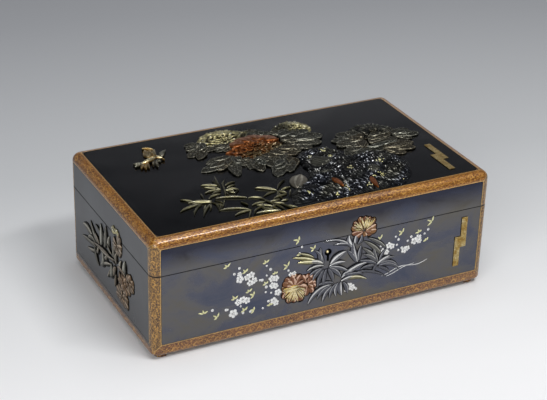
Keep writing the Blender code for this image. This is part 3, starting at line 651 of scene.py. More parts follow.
def blades(side, roots, tips, widths, bends=0.0, crown=1.0, lift=0.0, base=0.0, cup=0.0, lobes=0,
           lobe_depth=0.3, vein=0.3, tint=0.0, broad=0.75, blunt=0.85, ribs=0.0, shine=1.0, rim=(0.3, 6),
           skew=0.0, rows=20, columns=9):
    """Leaves. The middle line is an arc from root to tip; the half width follows the sine of the way
    along, cut into lobes by a second sine; across, the height is a roof with a groove down its middle,
    or a bowl where cup is 1, with slanting veins; and the tip lifts by the square of the way along.
    Skew paints a highlight on one side of the blade, and rim is how much its outline is brightened,
    or painted black as shadow where it is below 0, and how thin that is."""
    roots, tips = np.atleast_2d(roots).astype(float), np.atleast_2d(tips).astype(float)
    count = len(roots)

    def each(value):
        return np.broadcast_to(np.asarray(value, float), (count,))[:, None, None]

    s = np.linspace(0, 1, rows)[None, :, None]
    t = np.linspace(-1, 1, columns)[None, None, :]
    axis = tips - roots
    reach = np.linalg.norm(axis, axis=1)[:, None, None]
    ax, ay = (axis[:, i][:, None, None] / reach for i in (0, 1))
    bow = each(bends) * 4 * s * (1 - s)
    slope = each(bends) * 4 * (1 - 2 * s)
    u = roots[:, 0][:, None, None] + reach * (ax * s - ay * bow)
    v = roots[:, 1][:, None, None] + reach * (ay * s + ax * bow)
    du, dv = ax - ay * slope, ay + ax * slope
    speed = np.hypot(du, dv)
    half = each(widths) * np.clip(np.sin(np.pi * s ** each(broad)), 0, 1) ** blunt
    notches = lobe_depth * np.abs(np.cos(np.pi * max(lobes, 1) * s)) * (lobes > 0) * s**0.3
    half = half * (1 - notches) + 0.05
    u = u - dv / speed * half * t
    v = v + du / speed * half * t
    body_height = np.sin(np.pi * np.clip(s * 0.92 + 0.04, 0, 1)) ** 0.5
    edge = np.abs(t)
    roof = 1 - 0.6 * edge**1.7 - 0.35 * np.exp(-((t / 0.16) ** 2))
    bowl = 0.25 + 0.75 * edge**1.6
    veins = vein * np.cos(2 * np.pi * (4.5 * s - 1.1 * edge)) * edge * (1 - edge) * 2
    ridges = ribs * np.cos(4 * np.pi * t) * (1 - edge)
    across = (1 - each(cup)) * roof + each(cup) * bowl + veins + ridges
    h = each(base) + each(crown) * body_height * across + each(lift) * s**2 * np.ones_like(t)
    upper = onto(side, u, v, h)
    lower = onto(side, u, v, -0.1)
    # Painted highlight: with skew, the side of the blade that faces up is lighter.
    lit = np.where(each(skew) == 0, edge, t * each(skew))
    dim = np.where(each(skew) == 0, 0.35, 0.52)
    worn = (1 - each(cup)) * (dim + 0.5 * np.exp(-(((lit - 0.35) / 0.22) ** 2)))
    worn = worn + each(cup) * (0.22 + 0.7 * edge**7) + veins * 0.8 + ridges * 1.2
    # Below 0, rim paints the outline black as shadow; shine scales the brightness and the painted highlight.
    worn = worn * each(shine) + (1 - each(cup)) * rim[0] * edge ** rim[1]
    worn = np.broadcast_to(np.clip(worn, 0, 1), h.shape)
    low = np.zeros_like(worn)
    points, faces = shells(upper, lower)
    shade = np.broadcast_to(each(tint), h.shape)
    marks = {"worn": np.stack((worn, low), 1).ravel(), "tint": np.stack((shade, shade), 1).ravel()}
    return points, faces, marks


def carving(name, parts, material, slot, *nodes):
    """One piece of the picture from its parts."""
    points, faces, marks = joined([(p, np.asarray(f), m) for p, f, m in parts])
    dress(piece(name, points, faces, material, marks=marks), slot, *nodes)


def petals(side, heart, tips, peak, rings, outer, seed, frill, tint, rows=9, columns=11):
    """A full double flower in polar form about its heart, its reach going from tip to tip of the
    outline. Each petal is a spoon: it runs out and up by the power 1.8 of the way along, its sides and
    its frilled lip stand up and are ruffled by sines, and rings of ever smaller petals stand higher
    towards the heart. A low dome closes the flower below. Tint is worked out from a point's place and a
    draw between -1 and 1."""
    lip, dome_rows, dome_columns, dome_reach = 0.8, 9, 48, 0.86
    rng = np.random.default_rng(seed)
    heart = np.array(heart, float)
    spread = np.asarray(tips, float) - heart
    station, reaches = np.arctan2(spread[:, 1], spread[:, 0]), np.hypot(spread[:, 0], spread[:, 1])
    counts = [max(int(round(outer * (1 - 0.62 * k / max(rings - 1, 1)))), 4) for k in range(rings)]
    share = np.repeat(np.arange(rings) / max(rings - 1, 1), counts)
    angle = np.concatenate([2 * np.pi * (np.arange(n) + 0.5 * k) / n for k, n in enumerate(counts)])
    number = np.repeat(counts, counts)
    total = len(angle)
    angle = angle + rng.uniform(-0.25, 0.25, total) * np.pi / number

    def each(value):
        return np.asarray(value, float)[:, None, None]

    s = np.linspace(0, 1, rows)[None, :, None]
    t = np.linspace(-1, 1, columns)[None, None, :]
    tip = (1 - 0.8 * share) * rng.uniform(0.9, 1.02, total)
    start = np.maximum(tip - 0.42, 0.02)
    frills = np.cos(frill * np.pi * t + each(rng.uniform(0, 6, total)))
    rim = s * (1 - 0.14 * t**2 - 0.06 * frills)
    out = each(start) + each(tip - start) * rim
    wide = np.pi / number * rng.uniform(1.05, 1.3, total)
    theta = each(angle) + each(wide) * (0.5 + 0.5 * s**0.7) * (1 - 0.25 * s**6) * t
    reach = np.interp(theta, station, reaches, period=2 * np.pi)
    inner_height = peak * (0.06 + 0.52 * share)
    outer_height = peak * (0.16 + 0.68 * share**0.8) * rng.uniform(0.85, 1.1, total)
    cup = (0.10 + 0.10 * (1 - share)) * peak
    h = each(inner_height) + each(outer_height - inner_height) * s**1.8
    h = h + each(cup) * t**2 * s - lip * np.clip(s - 0.8, 0, 1) ** 1.5 / 0.1
    wave = np.sin(frill * np.pi * t + each(rng.uniform(0, 6, total)))
    ribs = np.cos((frill + 3) * np.pi * t + each(rng.uniform(0, 6, total)))
    h = h + 0.08 * peak * wave * s**3 + 0.03 * peak * ribs * s
    h = np.clip(h, -0.05, peak)
    flat_u, flat_v = reach * out * np.cos(theta), reach * out * np.sin(theta)
    upper = onto(side, heart[0] + flat_u, heart[1] + flat_v, h)
    lower = onto(side, heart[0] + flat_u, heart[1] + flat_v, np.maximum(h - 0.2 * peak - 0.3, -0.1))
    worn = 0.85 * np.exp(-(((s - 0.82) / 0.22) ** 2)) * (0.7 + 0.3 * wave)
    worn = worn + 0.14 * ribs + 0.35 * np.abs(t) ** 4 * s
    worn = np.clip(worn * each(rng.uniform(0.6, 1.15, total)), 0, 1)
    shade = np.clip(tint(flat_u, flat_v, each(rng.uniform(-1, 1, total))), 0, 1) + 0 * h
    points, faces = shells(upper, lower)
    marks = {"worn": np.stack((worn, 0 * worn), 1).ravel(), "tint": np.stack((shade, shade), 1).ravel()}
    inward = np.linspace(1, 0.02, dome_rows)[:, None]
    around = np.linspace(0, 2 * np.pi, dome_columns, endpoint=False)[None]
    bulge = np.minimum(peak * (0.05 + 0.55 * (1 - inward**2)), peak - 0.3) * np.ones_like(around)
    reach = dome_reach * inward * np.interp(around, station, reaches, period=2 * np.pi)
    u, v = heart[0] + reach * np.cos(around), heart[1] + reach * np.sin(around)
    skirt = onto(side, u[:1], v[:1], np.full((1, dome_columns), -0.15))
    dome = np.concatenate((skirt, onto(side, u, v, bulge))).reshape(-1, 3)
    dome_quads = grid_quads(dome_rows + 1, dome_columns, wrap=True)
    dome_marks = {"worn": np.zeros(len(dome)), "tint": np.full(len(dome), 0.3)}
    return joined([(points, faces, marks), (dome, dome_quads, dome_marks)])


# Garden rock. A cast, water-worn rock of black copper alloy, chiselled with hollows, ridges and, on the
# ground below it, slanting strokes for grass.
hundredth = (width / 2 - border) / 100


def uneven(u, v, wave, seed, terms=8):
    """A smooth uneven surface between about -1 and 1: a sum of sine waves of about the given length,
    running in directions all round."""
    rng = np.random.default_rng(seed)
    total = np.zeros(np.broadcast(u, v).shape)
    for turn, size, shift in zip(
        rng.uniform(0, 2 * np.pi, terms), rng.uniform(0.7, 1.6, terms), rng.uniform(0, 2 * np.pi, terms)
    ):
        total += np.sin(2 * np.pi / (wave * size) * (u * np.cos(turn) + v * np.sin(turn)) + shift)
    return total / np.sqrt(terms)


rock_at = np.array((46, -50)) * hundredth
rock_rows, rock_columns = 150, 400
rock_outline = np.array(
    ((11, 73), (19, 74), (27, 65), (43, 46), (54, 38), (68, 51), (86, 62), (103, 60), (119, 56),
     (136, 42), (152, 34), (168, 34), (185, 41), (193, 62), (201, 78), (209, 87), (222, 68), (240, 56),
     (270, 48), (300, 54), (317, 67), (342, 72), (356, 75)), float
)
rock_pits = np.array(((-18, 20, 7), (14, 2, 9), (48, -4, 8), (-30, -14, 6), (30, -22, 6), (-2, 36, 6)), float)
rock_peak = 5.6


def rock_reach(angle):
    """The rock's outline, from stations of (degrees, radius in hundredths): the radius goes from one to
    the next by a smooth step."""
    turns = np.degrees(angle) % 360
    stations = np.concatenate((rock_outline[-1:] - (360, 0), rock_outline, rock_outline[:1] + (360, 0)))
    i = np.clip(np.searchsorted(stations[:, 0], turns, side="right") - 1, 0, len(stations) - 2)
    share = (turns - stations[i, 0]) / (stations[i + 1, 0] - stations[i, 0])
    share = share * share * (3 - 2 * share)
    return (stations[i, 1] + (stations[i + 1, 1] - stations[i, 1]) * share) * hundredth


def strokes(across, along, apart, long, seed):
    """Short chisel cuts side by side: staggered cells, each with one raised stroke whose height falls
    off as a parabola across and along it. Its size and place in its cell are drawn by a hash."""
    column = np.floor(across / apart)

    def chance(a, b, which):
        value = np.sin(a * 12.9898 + b * 78.233 + which * 37.719 + seed) * 43758.5453
        return value - np.floor(value)

    along = along + chance(column, 0 * column, 1) * long
    row = np.floor(along / long)
    side_way = (across / apart - column - 0.5 + 0.25 * (chance(column, row, 2) - 0.5)) * 2
    end_way = (along / long - row - 0.5) * 2
    size = 0.15 + 0.85 * chance(column, row, 3) ** 1.3
    return np.clip(1 - (side_way / 0.8) ** 2, 0, 1) * np.clip(1 - (end_way / 0.92) ** 2, 0, 1) ** 0.7 * size


def arcs(u, v, centre, apart, long, seed):
    """Strokes in circles round a point, wavering by a smooth uneven surface."""
    away = np.hypot(u - centre[0], v - centre[1]) + 1.3 * uneven(u, v, 12, seed + 3)
    circle = (np.floor(away / apart) + 0.5) * apart
    return strokes(away, np.arctan2(v - centre[1], u - centre[0]) * circle, apart, long, seed)


rock_stones = np.array(((27, -18, 10, 7.5), (58, -46, 5.5, 5), (21, -38, 6, 2.6), (69, -35, 5, 2.4)), float)
rises = ((24, -16), (62, -44))


def rock_surface(u, v):
    """Height, brightness and tint of the rock: two rises with a dark valley between them, each cut with
    short strokes in circles round it, pits with raised rims, smooth engraved stones, and slanting
    strokes for grass on the ground in front. A pit is (across, up, size) from the rock's middle, in
    hundredths, and a stone is (across, up, half width, half height) in millimetres."""
    x, y = u - rock_at[0], v - rock_at[1]
    share = np.clip(np.hypot(x, y) / rock_reach(np.arctan2(y, x)), 0, 1)
    a, b = x / hundredth, y / hundredth
    dome = (1 - share**4) ** 0.5
    pits, rims = np.ones_like(share), np.zeros_like(share)
    for pu, pv, size in rock_pits:
        away = np.hypot(a - pu, b - pv) / size
        pits = pits - 0.75 * np.exp(-(away**2))
        rims = rims + np.exp(-(((away - 1.3) / 0.22) ** 2))
    first, second = (np.hypot(u - ru, v - rv) for ru, rv in rises)
    valley = np.exp(-(((first - second - 4 + 2 * uneven(u, v, 18, 5)) / 4.5) ** 2))
    swelling = (rock_peak - 2.2) * dome * (0.75 + 0.25 * uneven(u, v, 22, 12))
    height = 0.5 + swelling * np.maximum(pits, 0.1) * (1 - 0.6 * valley)
    ground = np.clip((-43 - v + 3 * uneven(u, v, 25, 3) - 12 * np.clip((u - 52) / 8, 0, 1)) / 5, 0, 1)
    near = first - 4 < second
    worked = np.where(near, arcs(u, v, rises[0], 2.2, 5.4, 1), arcs(u, v, rises[1], 2.2, 4.2, 2))
    pebbles = strokes(u + 0.4 * uneven(u, v, 8, 13), v, 2.3, 2.6, 7)
    lumpy = np.clip(0.5 + 1.6 * uneven(u, v, 16, 14) + 0.5 * np.where(near, 0, 1), 0, 1)
    worked = (1 - lumpy) * worked + lumpy * pebbles
    slant, down = u * np.cos(0.5) + v * np.sin(0.5), v * np.cos(0.5) - u * np.sin(0.5)
    grass = strokes(slant + 0.5 * uneven(u, v, 9, 9), down, 2.0, 6.4, 2)
    worked = worked * (1 - 0.85 * valley)
    detail = (1 - ground) * (1.5 * worked + 0.5 * rims) + ground * 1.5 * grass
    bright = (1 - ground) * (1.35 * worked + 0.4 * rims * worked) + ground * grass * 1.35
    tint = np.clip(0.35 + 0.8 * uneven(u, v, 26, 8), 0, 1)
    for su, sv, wide, tall in rock_stones:
        away = np.hypot((u - su) / wide, (v - sv) / tall)
        swell = np.clip(1 - away**2, 0, 1) ** 0.5
        lines = 0.5 + 0.5 * np.cos(2 * np.pi * (v - sv + 0.2 * (u - su)) / 1.8)
        inside = np.clip((1 - away) * 6, 0, 1)
        # Painted highlight: a bright line along the back half of each stone's outline.
        edge = np.exp(-(((away - 0.97) / 0.1) ** 2)) * (v > sv)
        detail = detail * (1 - inside) + inside * (1.6 * swell + 0.2 * lines)
        bright = bright * (1 - inside) + inside * (0.42 + 0.22 * lines * swell) + 0.5 * edge
        tint = tint * (1 - inside) + inside
    taper = np.clip((1 - share) * 9, 0, 1)
    bright = np.clip(bright, 0, 1) * (0.25 + 0.75 * np.clip(pits, 0, 1)) * (0.4 + 0.6 * taper)
    height = height * (1 - 0.5 * ground) + detail * taper
    return np.clip(height, 0.15, rock_peak + 0.4), np.clip(bright, 0, 1), tint


turns = np.linspace(0, 2 * np.pi, rock_columns, endpoint=False)[None]
shares = np.linspace(1, 0.004, rock_rows)[:, None]
reach = rock_reach(turns)
u, v = rock_at[0] + reach * shares * np.cos(turns), rock_at[1] + reach * shares * np.sin(turns)
h, bright, hue = rock_surface(u, v)
skirt = onto("top", u[:1], v[:1], np.full((1, rock_columns), -0.15))
rock = np.concatenate((skirt, onto("top", u, v, h)))
marks = {
    "worn": np.concatenate((bright[:1], bright)).ravel(),
    "tint": np.concatenate((hue[:1], hue)).ravel(),
}
rock_metal = alloy_material(
    "cast and chiselled black copper alloy", "#090a0d", "#26282e", "#dadee6", ("#3d3d37", "#cfcdbc"),
    rough=0.34, speckle=0.16, size=1.15, dots=0.32,
)
innermost = rock_rows * rock_columns
rock_faces = [list(face) for face in grid_quads(rock_rows + 1, rock_columns, wrap=True)]
rock_faces.append(list(range(innermost, innermost + rock_columns)))
rock_piece = piece("garden_rock_chiselled", rock, rock_faces, rock_metal, marks=marks)
dress(rock_piece, "rock_metal", "garden_rock")


# Moss and fallen leaves on the rock: dots of gold, raised with the punch, and small leaves of orange
# copper let into it. A bed of moss is its middle and its spread, across and up, in millimetres.
dome_shares, dome_sides = (1.0, 0.8, 0.45, 0.06), 10


def dots(places, radii, heights):
    """Domes: rings of points whose height falls off as a quarter of a circle. Each place is the two
    distances along the face and the height of its foot."""
    ring_share = np.array(dome_shares)[None, :, None]
    turns = np.linspace(0, 2 * np.pi, dome_sides, endpoint=False)[None, None]
    u = places[:, 0][:, None, None] + radii[:, None, None] * ring_share * np.cos(turns)
    v = places[:, 1][:, None, None] + radii[:, None, None] * ring_share * np.sin(turns)
    rise = np.sqrt(1 - ring_share**2 * 0.98) * np.ones_like(turns)
    h = places[:, 2][:, None, None] + heights[:, None, None] * rise
    return u, v, h


def dome_faces(count):
    """The faces of so many domes."""
    quads = grid_quads(len(dome_shares), dome_sides, wrap=True)
    starts = np.arange(count) * len(dome_shares) * dome_sides
    return (quads[None] + starts[:, None, None]).reshape(-1, 4)


moss_peak, moss_each = 6.1, 11
rng = np.random.default_rng(5)
moss_beds = np.array(
    ((37.5, -1, 3.2, 3.4), (44.5, -34, 2.2, 5), (6.5, -7, 1.8, 3.8), (5, -25, 4.2, 2.4),
     (70, -35, 3.4, 2.4), (-5.5, -60, 1.8, 3.6), (25, -64, 1.6, 3.4), (43, -66, 1.8, 3.0),
     (60, -56, 2.0, 3.0), (73, -71, 2.4, 3.6), (-25, -68, 2.4, 3.2), (13, -71, 1.4, 2.8),
     (54, -55.5, 1.6, 1.2), (44, -75, 2.8, 1.4), (22, -8, 2.0, 2.4), (38, -13, 1.6, 2.6)), float
)
moss = np.repeat(moss_beds, moss_each, axis=0)
moss = moss[:, :2] + rng.normal(0, 0.55, (len(moss), 2)) * moss[:, 2:]
from_rock = moss - rock_at
inside = np.hypot(*from_rock.T) < 0.95 * rock_reach(np.arctan2(from_rock[:, 1], from_rock[:, 0]))
moss = moss[inside]
moss_height, _, _ = rock_surface(moss[:, 0], moss[:, 1])
moss_size = rng.uniform(0.4, 0.7, len(moss))
u, v, h = dots(np.c_[moss, moss_height - 0.3], moss_size, rng.uniform(0.5, 0.8, len(moss)))
moss_gold = alloy_material("punched gold", "#7c7446", "#d6d092", "#f6f3cc", rough=0.36)
moss_points = onto("top", u, v, np.minimum(h, moss_peak)).reshape(-1, 3)
moss_marks = {"worn": np.full(len(moss_points), 0.7), "tint": np.zeros(len(moss_points))}
dress(piece("rock_moss", moss_points, dome_faces(len(moss)), moss_gold, marks=moss_marks), "gold")

orange_copper = alloy_material(
    "orange patinated copper", "#2c1408", "#91532a", "#cf9258", rough=0.38, speckle=0.22
)
red_leaf_at = np.array(((21.0, -46.0), (50.0, -56.0)))
red_leaf_to = np.array(((23.0, -61.5), (46.5, -73.5)))
leaf_height, _, _ = rock_surface(np.array((22, 48.0)), np.array((-53, -64.0)))
leaf_bed = np.minimum(leaf_height + 0.7, 4.8)
carving(
    "fallen_leaves",
    [blades("top", red_leaf_at, red_leaf_to, (2.2, 2.1), crown=0.7, base=leaf_bed, cup=0.3,
            bends=(0.03, -0.04))],
    orange_copper, "red_copper",
)


# Lid peonies. Full double flowers cast in red copper, greenish gold and grey silver alloy; their petals
# are chased with ruffled lips, and the lips are brightened, partly as wear and partly as painted highlight.
flower_peak = 6.1
red_flower = alloy_material(
    "red patinated copper", "#1a0d07", "#824b26", "#d29a70", ("#54462f", "#e0d3ac"),
    rough=0.36, speckle=0.2, size=1.3, dots=0.12,
)
red_tips = ((-36, 26), (-33, 16), (-24, 10), (-10, 8), (4, 9), (14, 15), (18, 27), (15, 38), (6, 45),
            (-8, 47), (-20, 43), (-28, 34))
carving(
    "red_peony_cast",
    [
        petals("top", (-8, 27), red_tips, flower_peak, 7, 17, 1, frill=4,
               tint=lambda u, v, r: 0.15 - v / 16 + 0.02 * u + 0.35 * r),
        blades("top", ((-14, 33), (-9, 34), (-2, 34), (4, 31)),
               ((-24, 41), (-11, 47.5), (4, 46.5), (15, 39.5)), (7, 8.5, 8.5, 7),
               crown=1.5, base=(3.2, 3.4, 3.4, 3.2), lift=-2.0, vein=0.12, broad=1.25, blunt=0.6, bends=0.04),
    ],
    red_flower, "red_copper", "red_peony",
)
gold_flower = alloy_material(
    "greenish gold", "#26221a", "#cdc494", "#fffbe8", ("#4c4a3c", "#c2bfa8"),
    rough=0.33, speckle=0.18, size=1.4, dots=0.1,
)
gold_left_tips = ((-48, 45), (-48, 53), (-43, 61), (-34, 67), (-23, 69), (-11, 66), (-1, 60), (2, 54),
                  (-7, 48), (-20, 44), (-35, 42))
carving(
    "gold_peony_left_cast",
    [petals("top", (-25, 52), gold_left_tips, flower_peak, 5, 11, 2, frill=5,
            tint=lambda u, v, r: 0.05 + 0.028 * u - 0.03 * v + 0.2 * r)],
    gold_flower, "gold", "gold_peony_left",
)
gold_right_tips = ((17, 46), (20, 55), (27, 60), (35, 63), (43, 61), (49, 56), (51.5, 48), (49, 40),
                   (42, 35.5), (31, 35), (21, 39))
carving(
    "gold_peony_right_cast",
    [petals("top", (36, 48), gold_right_tips, flower_peak * 0.95, 5, 11, 3, frill=5,
            tint=lambda u, v, r: 0.4 - u / 8 + 0.2 * r)],
    gold_flower, "gold", "gold_peony_right",
)
silver_leaf = alloy_material(
    "chased grey silver alloy", "#0b0c0b", "#43443e", "#adada0", ("#453f34", "#a89f86"),
    rough=0.45, speckle=0.26, size=1.0, dots=0.36,
)
grey_tips = ((76, 25), (79, 31), (86, 34), (94, 33), (100, 32.5), (106, 28), (112, 21.5), (114, 14),
             (104, 7), (91, 5), (80, 7), (75, 15))
carving(
    "grey_peony_cast",
    [petals("top", (92, 14), grey_tips, flower_peak * 0.9, 3, 9, 4, frill=4,
            tint=lambda u, v, r: 0.5 - 0.05 * v + 0.4 * r)],
    silver_leaf, "leaf_silver", "grey_peony",
)


# Lid leaves. Peony leaves of the same grey alloy lie under and between the flowers. Each is cut into
# lobes, veined and punched, and cupped so that its edge catches the light. Root, tip and half width in
# millimetres, then the height of its bed and its tint.
lid_leaves = {
    "leaf_far_left": ((-45, 50, -58, 53, 4, 0.7, 0.2), (-45, 48, -63.5, 33, 5.6, 0.4, 0.5),
                      (-46, 46, -57.5, 26.5, 5, 0.8, 0.6), (-45, 50, -53, 38, 4.4, 1.3, 0.2),
                      (-45, 49, -60, 44, 4.4, 1.0, 0.4)),
    "leaf_between": ((-4, 50, 11, 57, 4.4, 0.5, 0.1), (-1, 48, 9, 50, 4.6, 0.4, 0.3),
                     (7, 46, 16, 51, 3.8, 0.6, 0.2), (2, 53, 5, 61, 3.4, 0.4, 0.6)),
    "leaf_lower_left": ((-30, 19, -64.5, 5, 6.8, 0.5, 0.2), (-35, 18, -41.3, -12.5, 5.6, 0.9, 0.3),
                        (-36, 17, -52, 1.5, 5, 1.1, 0.9), (-30, 16, -29, 1.5, 5, 1.0, 0.3),
                        (-33, 15, -35, -0.5, 3.4, 1.4, 0.1), (-34, 20, -56, 15, 4.4, 1.2, 0.3)),
    "leaf_lower_middle": ((-16, 11, -20, -12.5, 5.8, 0.6, 0.5), (-18, 9, -28, -4.5, 4.4, 0.4, 0.3),
                          (-12, 9, -10.5, -9, 4.6, 1.0, 0.4), (-24, 12, -27, 1.5, 4.8, 0.9, 0.6),
                          (-16, 8, -14.5, -5, 3.6, 1.8, 0.0)),
    "leaf_below": ((7, 1, -14.5, -24.5, 7.2, 0.4, 0.2), (8, 0, -2, -22, 5.6, 1.0, 0.3),
                   (10, -1, 6, -14.5, 4.6, 1.3, 0.9), (6, 5, -6.5, -6.5, 4.4, 1.1, 0.4),
                   (2, -4, -10, -14, 4.4, 1.5, 0.1)),
    "leaf_right": ((24, 31, 52.5, 27, 7.6, 1.5, 0.2), (22, 27, 46, 16, 7.2, 1.1, 0.3),
                   (20, 24, 34, 9.5, 7, 0.9, 0.4), (17, 22, 22, 7.5, 6.2, 0.8, 0.6),
                   (26, 35, 45, 37, 5.2, 2.2, 0.1), (18, 36, 33, 43, 5.6, 2.2, 0.1),
                   (16, 30, 30, 24, 5.2, 2.2, 0.6), (20, 40, 17, 50, 4.4, 1.0, 0.4)),
    "leaf_middle_right": ((80, 8, 53.5, 14, 6.6, 0.9, 0.2), (80, 11, 63, 24.5, 7.2, 0.7, 0.2),
                          (79, 11, 73.5, 24.5, 5.2, 1.5, 0.3), (78, 5, 53, 4.5, 6.2, 1.4, 0.4),
                          (76, 2, 57, -7, 6.2, 0.9, 0.4), (78, 3, 66, -10, 5.4, 1.4, 0.8),
                          (70, -2, 52, -15.5, 5.6, 0.7, 0.3), (80, 8, 67, 10, 4.6, 2.3, 0.9)),
    "leaf_far_right": ((105, 5, 127, 0, 5.6, 0.6, 0.2), (105, 7, 123, 9.5, 5, 1.0, 0.3),
                       (105, 3, 117, -6.5, 4.8, 0.5, 0.4), (108, 4, 121, 2, 3.6, 1.9, 0.1)),
    "leaf_low_right": ((60, -17, 93, -10, 5, 0.9, 0.1), (87, -13, 113.5, -14, 6.6, 1.2, 0.9),
                       (87, -14, 110.5, -22.5, 6.2, 0.9, 0.9), (86, -14, 99, -27.5, 6, 0.6, 0.9),
                       (84, -13, 93, -24.5, 5, 0.5, 0.7), (73, -10, 101, -8.8, 2.4, 2.2, 0.0)),
    "grey_stone_leaf": ((3.4, -29.5, -9.5, -48.2, 6.8, 0.4, 0.8),),
    "peony_foliage": ((-28, 43, -47.5, 37.5, 4.6, 0.5, 0.5), (-25, 42, -39, 33.5, 4.8, 0.4, 0.3),
                      (-21, 42, -33, 32, 4.2, 0.4, 0.7), (2, 15, 19, 5, 6, 1.0, 0.9),
                      (-2, 14, 9, 1, 5.4, 1.3, 0.8), (-8, 13, -3, 0.5, 5, 0.9, 0.7),
                      (8, 18, 24.5, 15, 5.4, 1.4, 0.9), (82, 2, 105, 8, 6.2, 1.3, 0.8),
                      (80, -2, 106, -0.5, 6, 1.0, 0.6), (80, -6, 99, -8, 4.8, 0.8, 0.9),
                      (86, 9, 107, 12.5, 5, 1.8, 0.5)),
}
smooth_grey = alloy_material(
    "smooth grey silver alloy", "#1d1b17", "#7d776a", "#d8d2c0", rough=0.36, speckle=0.12, size=3.0
)
rng = np.random.default_rng(9)
for name, fans in lid_leaves.items():
    fans = np.array(fans, float)
    root, tip, half_width, leaf_bed, tint = fans[:, :2], fans[:, 2:4], fans[:, 4], fans[:, 5], fans[:, 6]
    smooth = name == "grey_stone_leaf"
    count = len(fans)
    if smooth:
        shape = {"crown": 2.0, "vein": 0.0, "broad": 1.0}
    else:
        shape = {"crown": 1.4, "vein": 0.5, "broad": 1.15, "lobes": 4, "cup": rng.uniform(0.3, 0.9, count)}
    shape["bends"] = rng.uniform(-0.08, 0.08, count)
    parts = [
        blades("top", root, tip, half_width, lobe_depth=0.2, base=leaf_bed, lift=-0.1, tint=tint,
               blunt=0.6, rows=32, columns=15, **shape)
    ]
    if not smooth:
        inner_tip = root + (tip - root) * rng.uniform(0.5, 0.72, (count, 1)) + rng.normal(0, 2.0, (count, 2))
        parts.append(
            blades("top", root, inner_tip, half_width * 0.62, cup=0.8, base=leaf_bed + 0.9, tint=tint,
                   bends=rng.uniform(-0.15, 0.15, count), blunt=0.6, rows=16)
        )
    replaced = [name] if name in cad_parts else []
    carving(f"{name}_chased", parts, smooth_grey if smooth else silver_leaf, "leaf_silver", *replaced)


